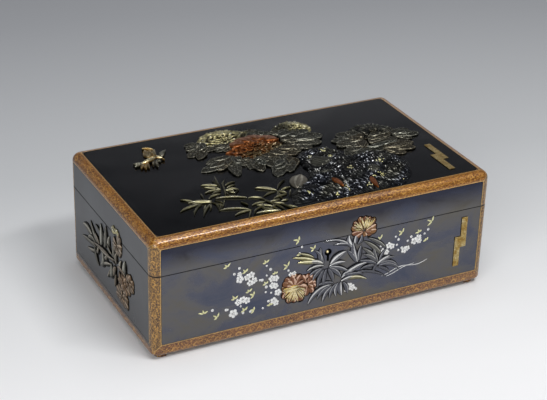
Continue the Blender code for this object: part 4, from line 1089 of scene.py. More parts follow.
# Bamboo. Narrow blades of pale gold and silver alloy on thin stems, in four sprays. Root, tip and half
# width in millimetres, then the bend and the tint, which is darker towards 1.
bamboo_metal = alloy_material(
    "pale gold silver alloy", "#17160f", "#8b8664", "#fffaea", ("#45432f", "#b4ae92"),
    rough=0.26, speckle=0.14,
)
lid_bamboo = {
    "bamboo_upper": (
        (-62, -22, -74.5, -16.0, 1.5, -0.08, 0.0), (-63, -27, -73.5, -20, 1.8, -0.06, 0.1),
        (-63, -28, -77, -28.8, 1.2, -0.08, 0.5), (-66, -34, -77.5, -37.2, 1.5, -0.1, 0.0),
        (-62, -25, -58.5, -6, 1.2, 0.04, 0.7), (-60, -24, -53.5, -13.5, 1.0, 0.05, 0.7),
        (-58, -23, -48, -20, 1.3, 0.08, 0.7), (-58, -27, -50, -25, 1.2, 0.06, 0.5),
        (-58, -29, -51.5, -34.5, 1.1, 0.16, 0.6), (-60, -33, -56, -37, 1.2, 0.05, 0.5),
        (-61, -30, -55, -33, 1.2, 0.1, 0.2), (-66, -29, -66, -20, 1.0, 0.0, 0.8),
        (-51.5, -34, -58.5, -42, 0.5, -0.1, 0.9), (-80.5, -28, -82, -38, 0.8, 0.05, 0.9),
        (-63, -24, -63, -12, 1.0, 0.0, 0.9), (-64, -30, -72, -32, 1.1, -0.1, 0.5),
        (-62, -34, -62, -41, 1.0, 0.0, 0.8), (-58, -17, -67, -44, 0.8, 0.03, 0.7),
        (-73, -39, -51, -47.5, 0.85, 0.05, 0.0),
    ),
    "bamboo_left": (
        (-77, -42, -94.5, -38, 2.0, -0.06, 0.0), (-78, -44, -92.5, -41, 1.5, -0.06, 0.1),
        (-87, -43, -105.5, -48.6, 1.9, -0.07, 0.1), (-90, -37, -98, -31, 1.0, 0.0, 0.8),
        (-88, -44, -98.5, -58, 1.2, -0.05, 0.5), (-80, -46, -92.8, -62, 1.4, -0.05, 0.4),
        (-84, -46, -90, -55.5, 1.1, 0.0, 0.3), (-80, -47, -84.5, -55.5, 1.1, 0.0, 0.3),
        (-76, -45, -78, -56, 1.1, 0.05, 0.6), (-72, -46, -79.5, -59, 0.9, 0.04, 0.6),
        (-78, -44, -72.5, -53, 1.2, 0.0, 0.6), (-86, -44, -94, -50, 1.1, -0.05, 0.6),
        (-75, -42, -71, -50, 0.9, 0.0, 0.8), (-67, -42, -78, -58, 0.7, 0.04, 0.6),
        (-78, -57.5, -57, -65.5, 0.8, 0.09, 0.2),
    ),
    "bamboo_right": (
        (-25.5, -45.5, -39, -36, 1.7, -0.09, 0.0), (-27, -47, -39, -51, 1.2, -0.1, 0.1),
        (-24, -44, -12, -32.8, 1.0, 0.08, 0.7), (-22, -46, -13.5, -45.5, 1.4, 0.08, 0.6),
        (-26, -47, -21, -53, 1.3, 0.08, 0.2), (-21, -54, -34, -57.5, 1.4, -0.06, 0.0),
        (-15, -48, -21, -58, 1.0, 0.0, 0.4), (-25, -46, -32, -58, 1.0, 0.04, 0.7),
        (-30, -60, -39, -61.5, 1.5, -0.04, 0.0), (-24, -62, -30, -63, 1.6, -0.05, 0.0),
        (-26, -50, -28, -60, 1.1, 0.0, 0.5), (-50.5, -48, -40.5, -57, 0.9, 0.2, 0.0),
        (-41, -55, -38, -66, 0.8, 0.05, 0.1),
    ),
    "bamboo_low": (
        (-41, -58.5, -53.5, -60.5, 1.3, -0.08, 0.0), (-56, -66.5, -71.5, -69.8, 1.5, -0.08, 0.0),
        (-57, -67, -63.5, -77.5, 1.0, -0.03, 0.4), (-37, -75.8, -56, -73.2, 1.5, -0.05, 0.0),
        (-50, -61, -39, -69, 1.2, 0.06, 0.5), (-48, -66, -41, -74.5, 1.2, 0.05, 0.4),
        (-45, -60, -48.5, -72, 1.1, 0.0, 0.5), (-38, -60, -34, -77.8, 1.2, 0.06, 0.2),
        (-33, -65, -28, -77.5, 1.1, 0.05, 0.4), (-42, -63, -55, -69, 1.3, -0.07, 0.3),
        (-36, -66, -44, -72, 1.2, -0.06, 0.2), (-37, -62, -30, -68, 1.1, 0.06, 0.3),
        (-58.5, -52, -55.5, -59, 0.8, 0.0, 0.8), (-52, -66, -58, -74, 1.0, -0.04, 0.6),
        (-40, -66, -38, -77, 1.0, 0.0, 0.5), (-43, -68, -52, -76, 1.1, -0.05, 0.5),
        (-31, -70, -24, -77, 1.0, 0.05, 0.6),
    ),
}
for name, fans in lid_bamboo.items():
    fans = np.array(fans, float)
    carving(
        f"{name}_engraved",
        [blades("top", fans[:, :2], fans[:, 2:4], fans[:, 4] * 0.68, bends=fans[:, 5], tint=fans[:, 6],
                crown=1.4, vein=0.0, lift=0.3, broad=0.8, blunt=1.0, base=rng.uniform(0, 0.5, len(fans)))],
        bamboo_metal, "pale_gold", name,
    )


# Stepped bars. Each is two bars of gold in one, punched all over with rows of tiny rings. One lies on
# the lid and one on the front.
ring_gold = new_material("ring punched gold")
spot = node(ring_gold, "TexCoord", output="Object")
punch = node(ring_gold, "TexVoronoi", {"Vector": spot, "Scale": 900.0, "Randomness": 0.35})
tone = node(ring_gold, "TexNoise", {"Vector": spot, "Scale": 220.0, "Detail": 3.0})
golds = ((0.35, "#cdae62"), (0.5, "#e9d494"), (0.68, "#fbf0c4"))
tone = node(ring_gold, "ValToRGB", {"Fac": tone}, stops=golds)
pits = node(ring_gold, "ValToRGB", {"Fac": punch}, stops=((0.1, "#ffffff"), (0.62, "#8a7440")))
tone = mixed(ring_gold, 0.8, tone, pits, blend_type="MULTIPLY")
bump = node(ring_gold, "Bump", {"Height": punch, "Strength": 0.6, "Distance": 0.0004}, invert=True)
surface(ring_gold, Base_Color=tone, Metallic=0.8, Roughness=0.42, Normal=bump)
refinish(ring_gold, "stepped_bar_top", "stepped_bar_front")


# Bird. A small bird on the wing: gold body, fanned wing feathers in gold and silver alloy, and a forked
# tail. The rows of the feathers are as for the bamboo.
bird_metal = alloy_material(
    "gold and silver bird", "#1c150a", "#a08048", "#fff2c4", ("#5e5c4c", "#e6e4d4"), speckle=0.2
)


def lump(side, start, end, radius, h, taper, squash=0.7, rows=12, columns=14):
    """A rounded body from start to end: rings whose radius follows a sine of a power of the way along,
    squashed towards the face."""
    s = np.linspace(0.02, 0.98, rows)[:, None]
    ang = np.linspace(0, 2 * np.pi, columns, endpoint=False)[None]
    start, end = np.array(start, float), np.array(end, float)
    axis = end - start
    size = np.hypot(*axis)
    nx, ny = -axis[1] / size, axis[0] / size
    r = radius * np.sin(np.pi * s**taper) ** 0.7
    u = start[0] + axis[0] * s + nx * r * np.cos(ang)
    v = start[1] + axis[1] * s + ny * r * np.cos(ang)
    points = onto(side, u, v, h + squash * r * np.sin(ang)).reshape(-1, 3)
    worn = np.clip((0.45 + 0.5 * np.sin(ang) * np.ones_like(s)).ravel(), 0, 1)
    return points, grid_quads(rows, columns, wrap=True), {"worn": worn, "tint": np.zeros(len(points))}


feathers = np.array(
    ((-89, 43, -92.5, 53, 2.0, 0.1, 0.3), (-88, 44, -91, 56.5, 1.5, 0.1, 0.0),
     (-87, 44, -89, 60, 1.6, 0.1, 0.5), (-86, 45, -85, 59.5, 1.6, 0.1, 0.3),
     (-85, 45, -82, 56, 1.4, 0.1, 0.6), (-82, 42, -78.5, 46, 1.3, 0.0, 0.9),
     (-82, 43, -79.5, 49.5, 1.3, 0.05, 1.0), (-81.5, 43, -76, 51.5, 1.2, 0.06, 1.0),
     (-81, 42, -74.5, 51.5, 0.9, 0.06, 1.0), (-95, 37.5, -104.5, 28, 1.5, -0.08, 0.2),
     (-95, 37.5, -101.5, 25.5, 1.3, -0.08, 0.0), (-95, 37, -98.5, 26, 1.0, -0.06, 0.5),
     (-98, 36, -107.5, 37.5, 1.2, 0.05, 1.0), (-98, 35.5, -108, 32.5, 1.1, -0.05, 1.0),
     (-88, 37, -91.5, 26, 1.2, -0.05, 0.9), (-90, 37, -94, 28.5, 1.0, -0.05, 0.9),
     (-87.5, 38, -86.5, 33, 1.4, 0.0, 1.0), (-87.5, 44, -86.8, 50, 0.9, 0.0, 0.0),
     (-91, 60.5, -83.5, 55.5, 0.8, 0.06, 0.0))
)
carving(
    "bird_cast",
    [
        lump("top", (-101.5, 34.8), (-85.5, 41.3), 2.2, 1.8, taper=0.8),
        lump("top", (-87, 41.2), (-82.6, 37.2), 1.9, 2.0, taper=0.6),
        blades("top", (-83.5, 38), (-82.2, 35), 0.5, crown=0.5, base=1.6),
        blades("top", feathers[:, :2], feathers[:, 2:4], feathers[:, 4], bends=feathers[:, 5],
               tint=feathers[:, 6], crown=1.1, base=np.linspace(0.6, 1.4, len(feathers)), vein=0.4,
               lift=0.2, broad=1.1, blunt=0.6, columns=11),
    ],
    bird_metal, "gold", "bird",
)


# Front picture. Peonies in copper with gold stamens and leaves in grey silver alloy, their outlines
# painted black as shadow, all in low relief round the keyhole. A leaf's row is its root, tip and half
# width in millimetres, then its bend, its tint and its shine, which scales its brightness and painted
# highlight.
side_unit = (panel_high - panel_low) / 200
seam_up = (seam - side_middle) / side_unit


def on_side(across, up):
    """A place on an upright face, in hundredths of half the panel's height from its middle."""
    return np.array((across * side_unit, side_middle + up * side_unit))


front_leaf = alloy_material(
    "engraved grey silver alloy", "#060607", "#5e5f66", "#e2e2e0", ("#77724e", "#fff8cc"),
    rough=0.28, speckle=0.07, size=1.6,
)
front_leaves = {
    "front_leaves_left": (
        (23, 55, -4.5, 69.2, 1.4, -0.17, 0.0, 1.0), (22, 60, 4, 64.8, 1.3, -0.1, 0.0, 1.0),
        (-4, 50, -13, 65, 1.5, -0.12, 0.0, 0.8), (-4.5, 52, -6.5, 65.5, 2.0, 0.12, 0.0, 0.8),
        (-12, 58, -26, 64.5, 1.3, -0.05, 0.8, 1.0), (-8, 53.5, -30.5, 61.6, 1.9, -0.05, 1.0, 1.1),
        (-9, 53, -26, 56.4, 1.8, -0.05, 1.0, 1.25), (-4, 51, -18, 55, 2.1, -0.1, 0.2, 1.2),
        (-3, 49, -18, 47.6, 1.7, -0.12, 0.1, 1.1), (-4, 47, -16, 42.5, 1.6, -0.12, 0.0, 0.8),
        (-4, 47, -12.5, 37.5, 2.0, -0.14, 0.0, 0.8), (-3, 46, -8, 31.5, 2.0, -0.1, 0.0, 0.7),
        (-1, 46, -3, 32, 2.0, -0.06, 0.0, 0.7), (0, 46, 5, 33, 2.0, 0.08, 0.0, 0.7),
        (1, 46.5, 12, 35.5, 2.1, 0.08, 0.0, 0.8), (1, 47, 19, 38.5, 1.9, 0.08, 0.0, 0.9),
        (1, 47.5, 15.5, 48.2, 1.9, 0.1, 0.0, 1.15), (2, 49, 15.5, 57.6, 2.7, 0.1, 0.0, 1.25),
    ),
    "front_leaves_low": (
        (6, 32, -9, 32.5, 1.6, -0.1, 0.0, 0.8), (4, 31, -15.8, 17.6, 2.5, -0.17, 0.0, 1.0),
        (4, 30, -8, 20.5, 2.0, -0.15, 0.0, 0.8), (5, 29.5, -3, 17, 2.0, -0.14, 0.0, 0.9),
        (8, 31, 3, 19, 1.8, -0.12, 0.0, 0.8), (10, 31.5, 8.8, 19.5, 2.0, -0.14, 0.0, 0.9),
        (12, 31.5, 13.5, 19, 2.4, -0.1, 0.0, 1.0), (14, 31, 18, 19.5, 1.9, 0.1, 0.0, 0.8),
        (22, 37, 53, 26, 1.1, 0.1, 0.0, 0.7), (14, 36, 32, 34, 1.7, 0.08, 0.0, 0.8),
        (13, 32.5, 35, 28.6, 1.9, 0.12, 0.75, 1.1), (12, 32, 24, 34, 1.7, 0.08, 0.0, 1.2),
        (12, 34.5, 35.5, 43.6, 2.4, 0.1, 0.0, 1.2), (13, 37, 23, 38.6, 1.8, 0.12, 0.0, 1.0),
    ),
    "front_leaves_right": (
        (24, 47, 16, 58, 2.0, -0.06, 0.0, 0.8), (27, 46, 28.5, 60, 2.0, 0.05, 0.0, 0.8),
        (26, 45, 21, 64, 2.9, 0.08, 0.0, 0.9), (21, 61, 17.5, 70.5, 2.3, 0.2, 0.0, 1.2),
        (25, 61, 28, 69.5, 1.8, -0.18, 0.0, 0.8), (23, 62, 23.5, 69.5, 2.2, 0.0, 0.0, 1.0),
        (50, 53, 33, 65, 1.7, -0.06, 0.2, 0.8), (47, 47, 30, 63, 2.0, -0.06, 0.3, 0.8),
        (44, 41, 29, 57.5, 2.1, -0.06, 0.2, 0.8), (44, 41, 30, 51.5, 1.9, -0.08, 0.1, 0.8),
        (43, 40, 27, 46, 1.8, -0.08, 0.0, 0.8), (42, 39, 29, 39, 1.7, -0.08, 0.0, 0.8),
        (44, 42, 39, 57, 1.6, 0.05, 0.1, 0.8), (45, 42, 51, 52, 1.4, 0.1, 0.0, 0.8),
        (44, 39, 62.5, 33, 1.7, 0.2, 0.0, 0.8), (44, 38, 64, 30.5, 1.6, 0.16, 0.0, 0.8),
        (44, 37, 55, 29.5, 1.4, 0.12, 0.0, 0.7), (44, 41, 40, 32, 1.3, -0.12, 0.0, 0.6),
        (43, 39, 59, 42.5, 1.7, 0.14, 0.0, 0.9), (43, 39.5, 54.5, 45, 1.8, 0.08, 0.0, 1.3),
    ),
}


def cut_leaves(side, leaves, crown, drop=(0.35, -0.3), halo=0.3, rim=(-1.3, 8)):
    """Two parts: ribbed blades whose edges are painted black as shadow, with a painted highlight on the
    side that faces up, and below them a flat black sheet round each, wider by the halo and shifted by the
    drop, as their painted shadow."""
    leaves = np.array(leaves, float)
    root, tip, half_width = leaves[:, :2], leaves[:, 2:4], leaves[:, 4]
    shape = {"bends": leaves[:, 5], "broad": 0.9, "blunt": 0.75, "rows": 24, "vein": 0.0}
    upper = np.where(tip[:, 0] > root[:, 0], 1.0, -1.0)
    tops = blades(side, root, tip, half_width + 0.15, crown=crown, ribs=0.16, tint=leaves[:, 6],
                  base=np.linspace(0.0, 0.45, len(leaves)), shine=leaves[:, 7], rim=rim, skew=upper,
                  columns=17, **shape)
    # Painted shadow: a flat black sheet under each leaf, shifted down and to the side.
    cuts = blades(side, root + drop, tip + drop, half_width + halo, crown=0.12, shine=0.0, rim=(0, 1),
                  columns=5, **shape)
    return [tops, cuts]


for name, leaves in front_leaves.items():
    carving(f"{name}_engraved", cut_leaves("front", leaves, 0.8), front_leaf, "leaf_silver", name)
front_copper = alloy_material(
    "copper with gold", "#140a07", "#7c5542", "#e2bfa8", ("#bd9c48", "#fff8d2"), speckle=0.16
)


def bearings(degrees, lengths):
    """Steps from a flower's heart in the given directions and of the given lengths."""
    turn = np.radians(degrees)
    return np.stack((np.cos(turn), np.sin(turn)), -1) * lengths[:, None]


def low_flower(side, heart, outline, inner, stamens, seed, tint=0.0, crown=0.7):
    """A flower in low relief: petals about the heart from (degrees, length, half width), an outer ring
    under an inner one, each with its edges painted black as shadow, a painted highlight on its upper side
    and a black sheet below as its painted shadow, and gold stamens as (first degrees, last degrees, count)."""
    rng = np.random.default_rng(seed)
    heart = np.array(heart, float)
    parts = []
    for ring_of, base in ((outline, 0.0), (inner, 0.45)):
        fans = np.array(ring_of, float)
        count = len(fans)
        away = bearings(fans[:, 0], fans[:, 1])
        start = heart + away * 0.08
        shape = {"broad": 1.7, "blunt": 0.5, "bends": rng.uniform(-0.06, 0.06, count), "rows": 16,
                 "vein": 0.0}
        bed_height = base + rng.uniform(0, 0.25, count)
        hues = np.clip(tint + rng.uniform(-0.1, 0.15, count), 0, 1)
        parts.append(
            blades(side, start, heart + away, fans[:, 2], crown=crown, base=bed_height, ribs=0.1,
                   rim=(-1.5, 8), skew=np.where(away[:, 0] > 0, 1.0, -1.0), columns=13, tint=hues,
                   shine=rng.uniform(0.8, 1.15, count), **shape)
        )
        # Painted shadow: a flat black sheet under each petal, shifted down and to the side.
        parts.append(
            blades(side, start, heart + away * 1.06 + (0.3, -0.2), fans[:, 2] + 0.5, crown=0.1,
                   shine=0.0, rim=(0, 1), columns=5, **shape)
        )
    if stamens:
        first, last, count = stamens
        bearing = np.linspace(first, last, count) + rng.uniform(-3, 3, count)
        table = np.array(sorted(outline), float)
        reach = np.interp(bearing % 360, table[:, 0] % 360, table[:, 1], period=360)
        away = bearings(bearing, reach * rng.uniform(0.72, 1.0, count))
        start = heart + away * rng.uniform(0.1, 0.4, (count, 1))
        parts.append(
            blades(side, start, heart + away, 0.55, crown=0.5, base=0.85, vein=0.0, tint=1.0, shine=1.3,
                   rim=(-0.6, 8), rows=8, columns=7, broad=1.2, bends=rng.uniform(-0.1, 0.1, count))
        )
    return parts


low_outline = ((175, 10.5, 3.4), (152, 11, 3.2), (130, 11.5, 3.2), (106, 11, 3.2), (82, 10.5, 3.2),
               (58, 10.5, 3.2), (198, 10.5, 3.2), (222, 12.5, 3.4), (247, 14, 3.6), (272, 14, 3.6),
               (298, 15.5, 3.6), (322, 13.5, 3.4), (345, 11, 3.0))
low_inner = ((168, 7, 2.6), (135, 8, 2.8), (98, 8, 2.8), (62, 7.5, 2.6), (25, 8.5, 2.4))
# Painted highlight: two bright gold blades on the low peony's stamens.
gold_patch = blades("front", ((-34, 34.5), (-33, 36.5)), ((-23.5, 35), (-24, 37.6)), (1.5, 1.2), crown=0.5,
                    base=1.0, vein=0.0, tint=1.0, shine=1.6, rim=(0, 1), columns=7)
carving(
    "front_peony_low_cast",
    [*low_flower("front", (-28, 37), low_outline, low_inner, (183, 338, 30), 21), gold_patch],
    front_copper, "red_copper", "front_peony_low",
)
side_outline = ((118, 9.5, 2.6), (88, 9, 3.0), (58, 9.5, 3.2), (28, 8, 3.0), (0, 7.5, 2.8), (332, 8.5, 2.8),
                (300, 10, 2.8), (265, 10, 2.4))
carving(
    "front_petals_low_cast",
    low_flower("front", (-17, 36.5), side_outline, ((75, 6, 2.4), (20, 5, 2.2), (320, 6, 2.2)), None, 22,
               crown=0.6),
    front_copper, "red_copper", "front_petals_low",
)
high_outline = ((156, 12.5, 2.8), (136, 13.5, 2.8), (114, 13.5, 2.8), (92, 12.5, 2.8), (68, 12, 2.8),
                (44, 12.5, 2.8), (18, 10.5, 2.8), (352, 10.5, 3.0), (325, 8, 2.8), (285, 5, 2.6),
                (210, 9, 2.4), (182, 11, 2.6))
carving(
    "front_peony_high_cast",
    low_flower("front", (30.5, 71.5), high_outline, ((20, 6, 2.2), (338, 5.5, 2.0)), (45, 163, 24), 23),
    front_copper, "red_copper", "front_peony_high",
)


# Silver blossom. Plum blossoms, buds and sprigs of three tiny leaves, cut from silver and pale gold foil
# and beaten into the front panel, with two wavy wires of silver. Each row is a place in millimetres and,
# but for a bud, a size.
silver = alloy_material(
    "beaten silver foil", "#8a8c8f", "#d9d9d8", "#f6f6f4", ("#dddbab", "#fbfae4"),
    rough=0.5, speckle=0.12, size=0.8,
)
foil = 0.35
# The last two blossoms, at the top of the low peony, are a painted highlight in silver.
blossoms = np.array(
    ((-73, 53.5, 3.1), (-67, 53.8, 2.6), (-63.6, 55.2, 2.6), (-61.4, 50, 2.6), (-64.6, 48.6, 2.6),
     (-73.5, 58, 1.9), (-46.6, 48, 2.8), (-43.4, 47.4, 2.6), (-46, 42, 2.7), (-43.6, 41, 2.4),
     (-74, 34.4, 2.8), (-70.4, 35.6, 2.8), (-67, 34.2, 2.7), (-78, 25.6, 3.5), (-44.8, 28.6, 2.8),
     (-43, 26.4, 2.5), (-41.4, 35, 2.8), (20, 25.8, 2.7), (22.6, 23.8, 2.7), (48.4, 49.6, 2.7),
     (51.4, 48.2, 2.3), (53.4, 53.6, 2.7), (56, 52.4, 2.4), (67.4, 46.6, 2.8), (70, 47.6, 2.2),
     (76, 52.6, 3.0), (79.6, 54.6, 2.8), (80.4, 51.6, 2.2), (-31, 47.8, 1.9), (-28.2, 48.4, 1.7))
)
buds = np.array(
    ((-73.6, 63), (-77.6, 59), (-56.6, 49), (-54.8, 48.6), (-51, 51.6), (-52, 45), (-51.2, 42),
     (-51.6, 37.6), (-47, 36), (-84, 30.2), (-82.8, 30), (-95, 32.6), (-72, 30.4), (-53.6, 24.2),
     (-49, 29.2), (-64, 24), (-70, 24.2), (-48, 56.2), (-51.4, 60), (-22.4, 69.2), (-33, 51.6),
     (46, 54.6), (59, 60), (61.6, 57), (60.4, 52.6), (65, 49), (62, 47.6), (70, 54),
     (73, 57), (85, 57), (88, 60), (26, 22), (17, 22.4), (-24, 64.4)), float
)
bud_size = rng.uniform(0.85, 1.35, len(buds))
petal_count = 5
spin = rng.uniform(0, 2 * np.pi, len(blossoms))[:, None] + np.arange(petal_count) * 2 * np.pi / petal_count
petal_at = blossoms[:, None, :2] + 0.66 * blossoms[:, None, 2:] * np.stack((np.cos(spin), np.sin(spin)), -1)
petal_at = np.concatenate((petal_at.reshape(-1, 2), blossoms[:, :2]))
petal_size = np.concatenate((np.repeat(0.46 * blossoms[:, 2], petal_count), 0.2 * blossoms[:, 2]))
petal_rise = np.repeat((foil + 0.2, foil + 0.45), (petal_count * len(blossoms), len(blossoms)))


def foil_dots(places, sizes, rises, worn):
    """Dots let into the front panel, worn by the ring from foot to crown."""
    u, v, h = dots(np.c_[places, np.full(len(places), -0.1)], sizes, rises)
    points = onto("front", u, v, h).reshape(-1, 3)
    worn = np.broadcast_to(np.array(worn)[None, :, None], u.shape)
    return points, dome_faces(len(places)), {"worn": worn.ravel(), "tint": np.zeros(len(points))}


blossom_part = foil_dots(petal_at, petal_size, petal_rise, (0.3, 0.75, 0.95, 1.0))
bud_part = foil_dots(buds, bud_size, np.full(len(buds), 0.5), (0.75,) * 4)
sprigs = np.array(
    ((-83.5, 66.2, 3.4), (-68.4, 58.8, 2.6), (-51.8, 62.6, 2.8), (-77, 37.8, 2.8), (-65.4, 41.2, 2.8),
     (-61.4, 37.6, 2.8), (-102, 31.4, 3.4), (-91, 25.6, 3.2), (-68.6, 26, 2.6), (-61, 24.4, 2.8),
     (-47.4, 25.4, 2.4), (-44, 51.6, 2.0), (-25, 75.6, 4.0), (-12, 65.4, 3.0), (-33.8, 55.6, 3.2),
     (45.4, 61.4, 2.6), (64.6, 62.4, 3.4), (80, 59.4, 2.6), (91, 66.4, 3.8), (-24.4, 62.8, 2.4),
     (-51.6, 44.6, 2.0), (87, 51, 2.2))
)
lean = np.radians(rng.uniform(100, 175, len(sprigs)))
fan = np.radians(np.array((-75, 0, 62)))[None]
reach = sprigs[:, 2:] * rng.uniform(0.7, 1.1, (len(sprigs), 3))
away = np.stack((np.cos(lean[:, None] + fan), np.sin(lean[:, None] + fan)), -1) * reach[..., None]
start = np.repeat(sprigs[:, None, :2], 3, 1)
leaf_from, leaf_to = ((start + away * far).reshape(-1, 2) for far in (0.05, 1.3))
sprig_part = blades("front", leaf_from, leaf_to, 0.68, crown=0.45, vein=0.0, tint=1.0, rows=8, columns=7)
carving("silver_blossom", [blossom_part, bud_part, sprig_part], silver, "leaf_silver")


def wire(side, path, radius, bedded=0.05, columns=8):
    """A wire laid in the metal: a small circle carried along a path of points, thinner at its ends."""
    path = np.array(path, float)
    run = np.gradient(path, axis=0)
    run /= np.linalg.norm(run, axis=1, keepdims=True)
    ang = np.linspace(0, 2 * np.pi, columns, endpoint=False)
    taper = np.sin(np.pi * np.linspace(0.06, 0.94, len(path))) ** 0.4 * radius
    u = path[:, :1] - run[:, 1:] * taper[:, None] * np.cos(ang)
    v = path[:, 1:] + run[:, :1] * taper[:, None] * np.cos(ang)
    points = onto(side, u, v, bedded + taper[:, None] * np.sin(ang)).reshape(-1, 3)
    marks = {"worn": np.full(len(points), 0.6), "tint": np.zeros(len(points))}
    return points, grid_quads(len(path), columns, wrap=True), marks


s = np.linspace(0, 1, 60)
wave_one = np.stack((48 + 41 * s, 29.5 + 4.2 * s + 1.5 * np.sin(4.6 + 8 * s)), -1)
wave_two = np.stack((52 + 25 * s, 27.2 + 6 * s + 0.7 * np.sin(4 + 6 * s)), -1)
carving("silver_wires", [wire("front", wave_one, 0.35), wire("front", wave_two, 0.3)], silver, "leaf_silver")


# End sprays. Flowers and long narrow leaves in dark copper alloy, with black painted round their edges
# as shadow, with one gold bud on the lid, a plainer spray at the right and a single peony at the back.
# Leaves have rows as on the front, and a flower has its side, heart, outer petals, inner petals and tint.
dark_leaf = alloy_material(
    "brown copper alloy", "#040403", "#66655c", "#c0beb0", ("#6a5238", "#c8a888"),
    rough=0.32, speckle=0.14, size=1.5,
)
left_leaves = {
    "left_leaves_back": (
        (-35, 45.5, -57.5, 47, 3.6, -0.1, 0.1, 1.1), (-27, 40, -61, 35, 2.0, -0.04, 0.1, 0.9),
        (-26, 38, -48.5, 30.8, 1.7, 0.04, 0.2, 1.1), (-29, 43.5, -46.5, 39, 2.4, -0.18, 0.1, 0.9),
        (-23, 46, -39, 58.5, 3.2, 0.1, 0.1, 1.0), (-20, 45, -33, 51, 2.4, -0.14, 0.4, 1.0),
        (-17, 57, -29, 60, 1.0, -0.1, 0.0, 1.0), (-18, 47, -17, 66.5, 4.2, -0.1, 0.0, 1.1),
        (-10, 49, -6, 69.5, 3.9, -0.06, 0.1, 0.8), (-31, 40, -22.5, 26.5, 3.0, -0.12, 0.1, 0.7),
        (-15, 45, -19.5, 29.5, 3.3, 0.3, 0.0, 1.0), (-22, 44, -27, 36, 2.0, 0.1, 0.3, 1.0),
        (3, 41, -14, 32.5, 1.7, -0.04, 0.2, 1.2), (-4, 45, -10, 40, 2.2, 0.1, 0.2, 1.0),
        (13, 46, -40, 39.5, 1.7, -0.06, 0.4, 0.9), (12, 49, -29, 44.5, 1.7, 0.05, 0.3, 1.1),
        (6, 51, -4, 57, 1.8, 0.1, 0.2, 1.1),
    ),
    "left_leaves_front": (
        (0, 49, 1.5, 64.5, 3.4, 0.12, 0.1, 1.0), (8, 49, 8.5, 61, 3.0, -0.1, 0.2, 0.9),
        (3, 43, -1.5, 29.5, 3.6, 0.28, 0.0, 1.0), (1, 36, -6, 26, 1.2, 0.1, 0.2, 1.0),
        (14, 47, 15.5, 57, 3.0, 0.08, 0.3, 0.9), (22, 46, 25, 55, 2.4, 0.1, 0.2, 1.2),
        (28, 45, 32, 58.8, 4.0, -0.06, 0.0, 1.1), (14, 44, 10, 34, 3.2, -0.14, 0.5, 0.9),
        (20, 44, 23, 34, 2.8, 0.1, 0.8, 1.0), (17, 46, 34, 45.5, 2.4, 0.12, 0.6, 1.0),
        (14, 38, 11, 26, 2.4, 0.05, 0.5, 0.8),
    ),
}
for name, leaves in left_leaves.items():
    # Painted shadow: black outlines and flat black sheets under the leaves.
    parts = cut_leaves("left", leaves, 1.0, drop=(0.6, -0.1), halo=0.8, rim=(-1.7, 3.5))
    carving(f"{name}_cut", parts, dark_leaf, "rock_metal", name)


def spray(side, hub, fans, **options):
    """Leaves about a point, from (degrees, length, half width), the lengths in hundredths of half the
    panel's height."""
    fans = np.array(fans, float)
    turn = np.radians(fans[:, 0])
    away = np.stack((np.cos(turn), np.sin(turn)), -1)
    start = hub + away * fans[:, 1:2] * side_unit * 0.06
    return blades(side, start, hub + away * fans[:, 1:2] * side_unit, fans[:, 2] * side_unit, **options)


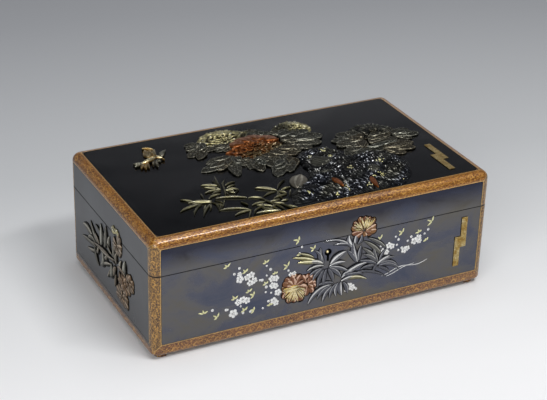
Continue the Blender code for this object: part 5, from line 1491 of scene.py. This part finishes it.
right_fans = ((176, 76, 8), (197, 74, 6), (150, 50, 8), (122, 52, 7), (95, 54, 7), (236, 46, 7),
              (268, 46, 8), (312, 30, 7))
carving(
    "right_leaves_back_cut",
    [spray("right", on_side(-66, seam_up - 60), right_fans, crown=1.1, vein=0.0, ribs=0.22, broad=0.9,
           bends=rng.uniform(-0.12, 0.12, len(right_fans)), tint=rng.uniform(0, 0.5, len(right_fans)),
           columns=13)],
    dark_leaf, "rock_metal", "right_leaves_back",
)
end_flowers = {
    "left_flower_low": (
        "left", (26.5, 25.5),
        ((170, 14.5, 3.6), (195, 14.5, 3.4), (142, 11, 3.4), (112, 8, 3.4), (80, 8, 3.4), (42, 10.5, 3.6),
         (8, 11, 3.6), (335, 12, 3.6), (300, 9, 3.4), (262, 8, 3.4), (225, 10, 3.4)),
        ((120, 5, 2.6), (30, 6, 2.6), (210, 6, 2.6), (310, 5, 2.6)),
        0.75,
    ),
    "left_flower_high": (
        "left", (17, 64),
        ((160, 9, 3.6), (195, 10, 3.4), (232, 9, 3.4), (270, 8, 3.2), (305, 9, 3.4), (342, 9, 3.6),
         (18, 9.5, 3.4), (52, 12, 3.2), (75, 13, 3.2)),
        ((20, 6, 2.6), (200, 6, 2.6), (290, 5, 2.4)),
        0.55,
    ),
    "left_flower_front": (
        "left", (41, 43.5),
        ((170, 7, 2.8), (140, 8, 3), (108, 8, 3), (74, 9, 3.2), (40, 9, 3.2), (8, 8.5, 3.2), (335, 8.5, 3),
         (300, 7, 2.8), (262, 7, 2.8), (215, 8, 2.8)),
        ((100, 5, 2.4), (20, 5, 2.4), (200, 5, 2.2)),
        0.8,
    ),
    "brown_petals": (
        "left", (30, 37.5),
        ((165, 11, 3.2), (190, 13, 3), (135, 9, 3.2), (100, 7, 3.2), (60, 8, 3.2), (20, 10, 3.2),
         (345, 12, 3), (310, 9, 3), (270, 6, 3), (225, 9, 3)),
        ((150, 6, 2.4), (30, 6, 2.4), (260, 5, 2.2)),
        1,
    ),
    "right_flower_low": (
        "right", (23, 29.8),
        ((170, 10, 3.6), (140, 11, 3.6), (110, 10, 3.6), (75, 10, 3.6), (40, 11, 3.6), (8, 10, 3.6),
         (335, 11, 3.6), (300, 10, 3.4), (262, 10, 3.4), (220, 10.5, 3.4)),
        ((120, 5, 2.6), (30, 6, 2.6), (210, 6, 2.6), (310, 5, 2.6)),
        0.6,
    ),
}
for seed, (name, (side, heart, outline, inner, hue)) in enumerate(end_flowers.items()):
    parts = low_flower(side, heart, outline, inner, None, 40 + seed, tint=hue, crown=0.9)
    carving(f"{name}_cut", parts, dark_leaf, "red_copper", *([name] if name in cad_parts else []))
bud_outline = ((188, 9.5, 1.8), (172, 10, 1.8), (155, 8, 1.8), (110, 4, 1.8), (60, 5, 1.8), (20, 5, 1.8))
carving(
    "left_bud_high_cut",
    low_flower("left", (15.5, 73.5), bud_outline, ((170, 7, 1.3), (60, 3, 1.2)), None, 50, tint=0.1,
               crown=0.9),
    gold_flower, "gold", "left_bud_high",
)
back_fans = ((20, 62, 9), (50, 52, 8), (348, 54, 8), (310, 34, 8), (95, 36, 8), (180, 34, 8), (235, 44, 8))
carving(
    "back_leaves_engraved",
    [spray("back", on_side(24, seam_up - 84), back_fans, crown=0.9, vein=0.5, broad=0.7, bends=0.08)],
    front_leaf, "leaf_silver", "back_leaves",
)
carving(
    "back_peony_cast",
    low_flower("back", on_side(-40, seam_up - 76), low_outline, low_inner, (183, 338, 22), 31),
    front_copper, "red_copper", "back_peony",
)
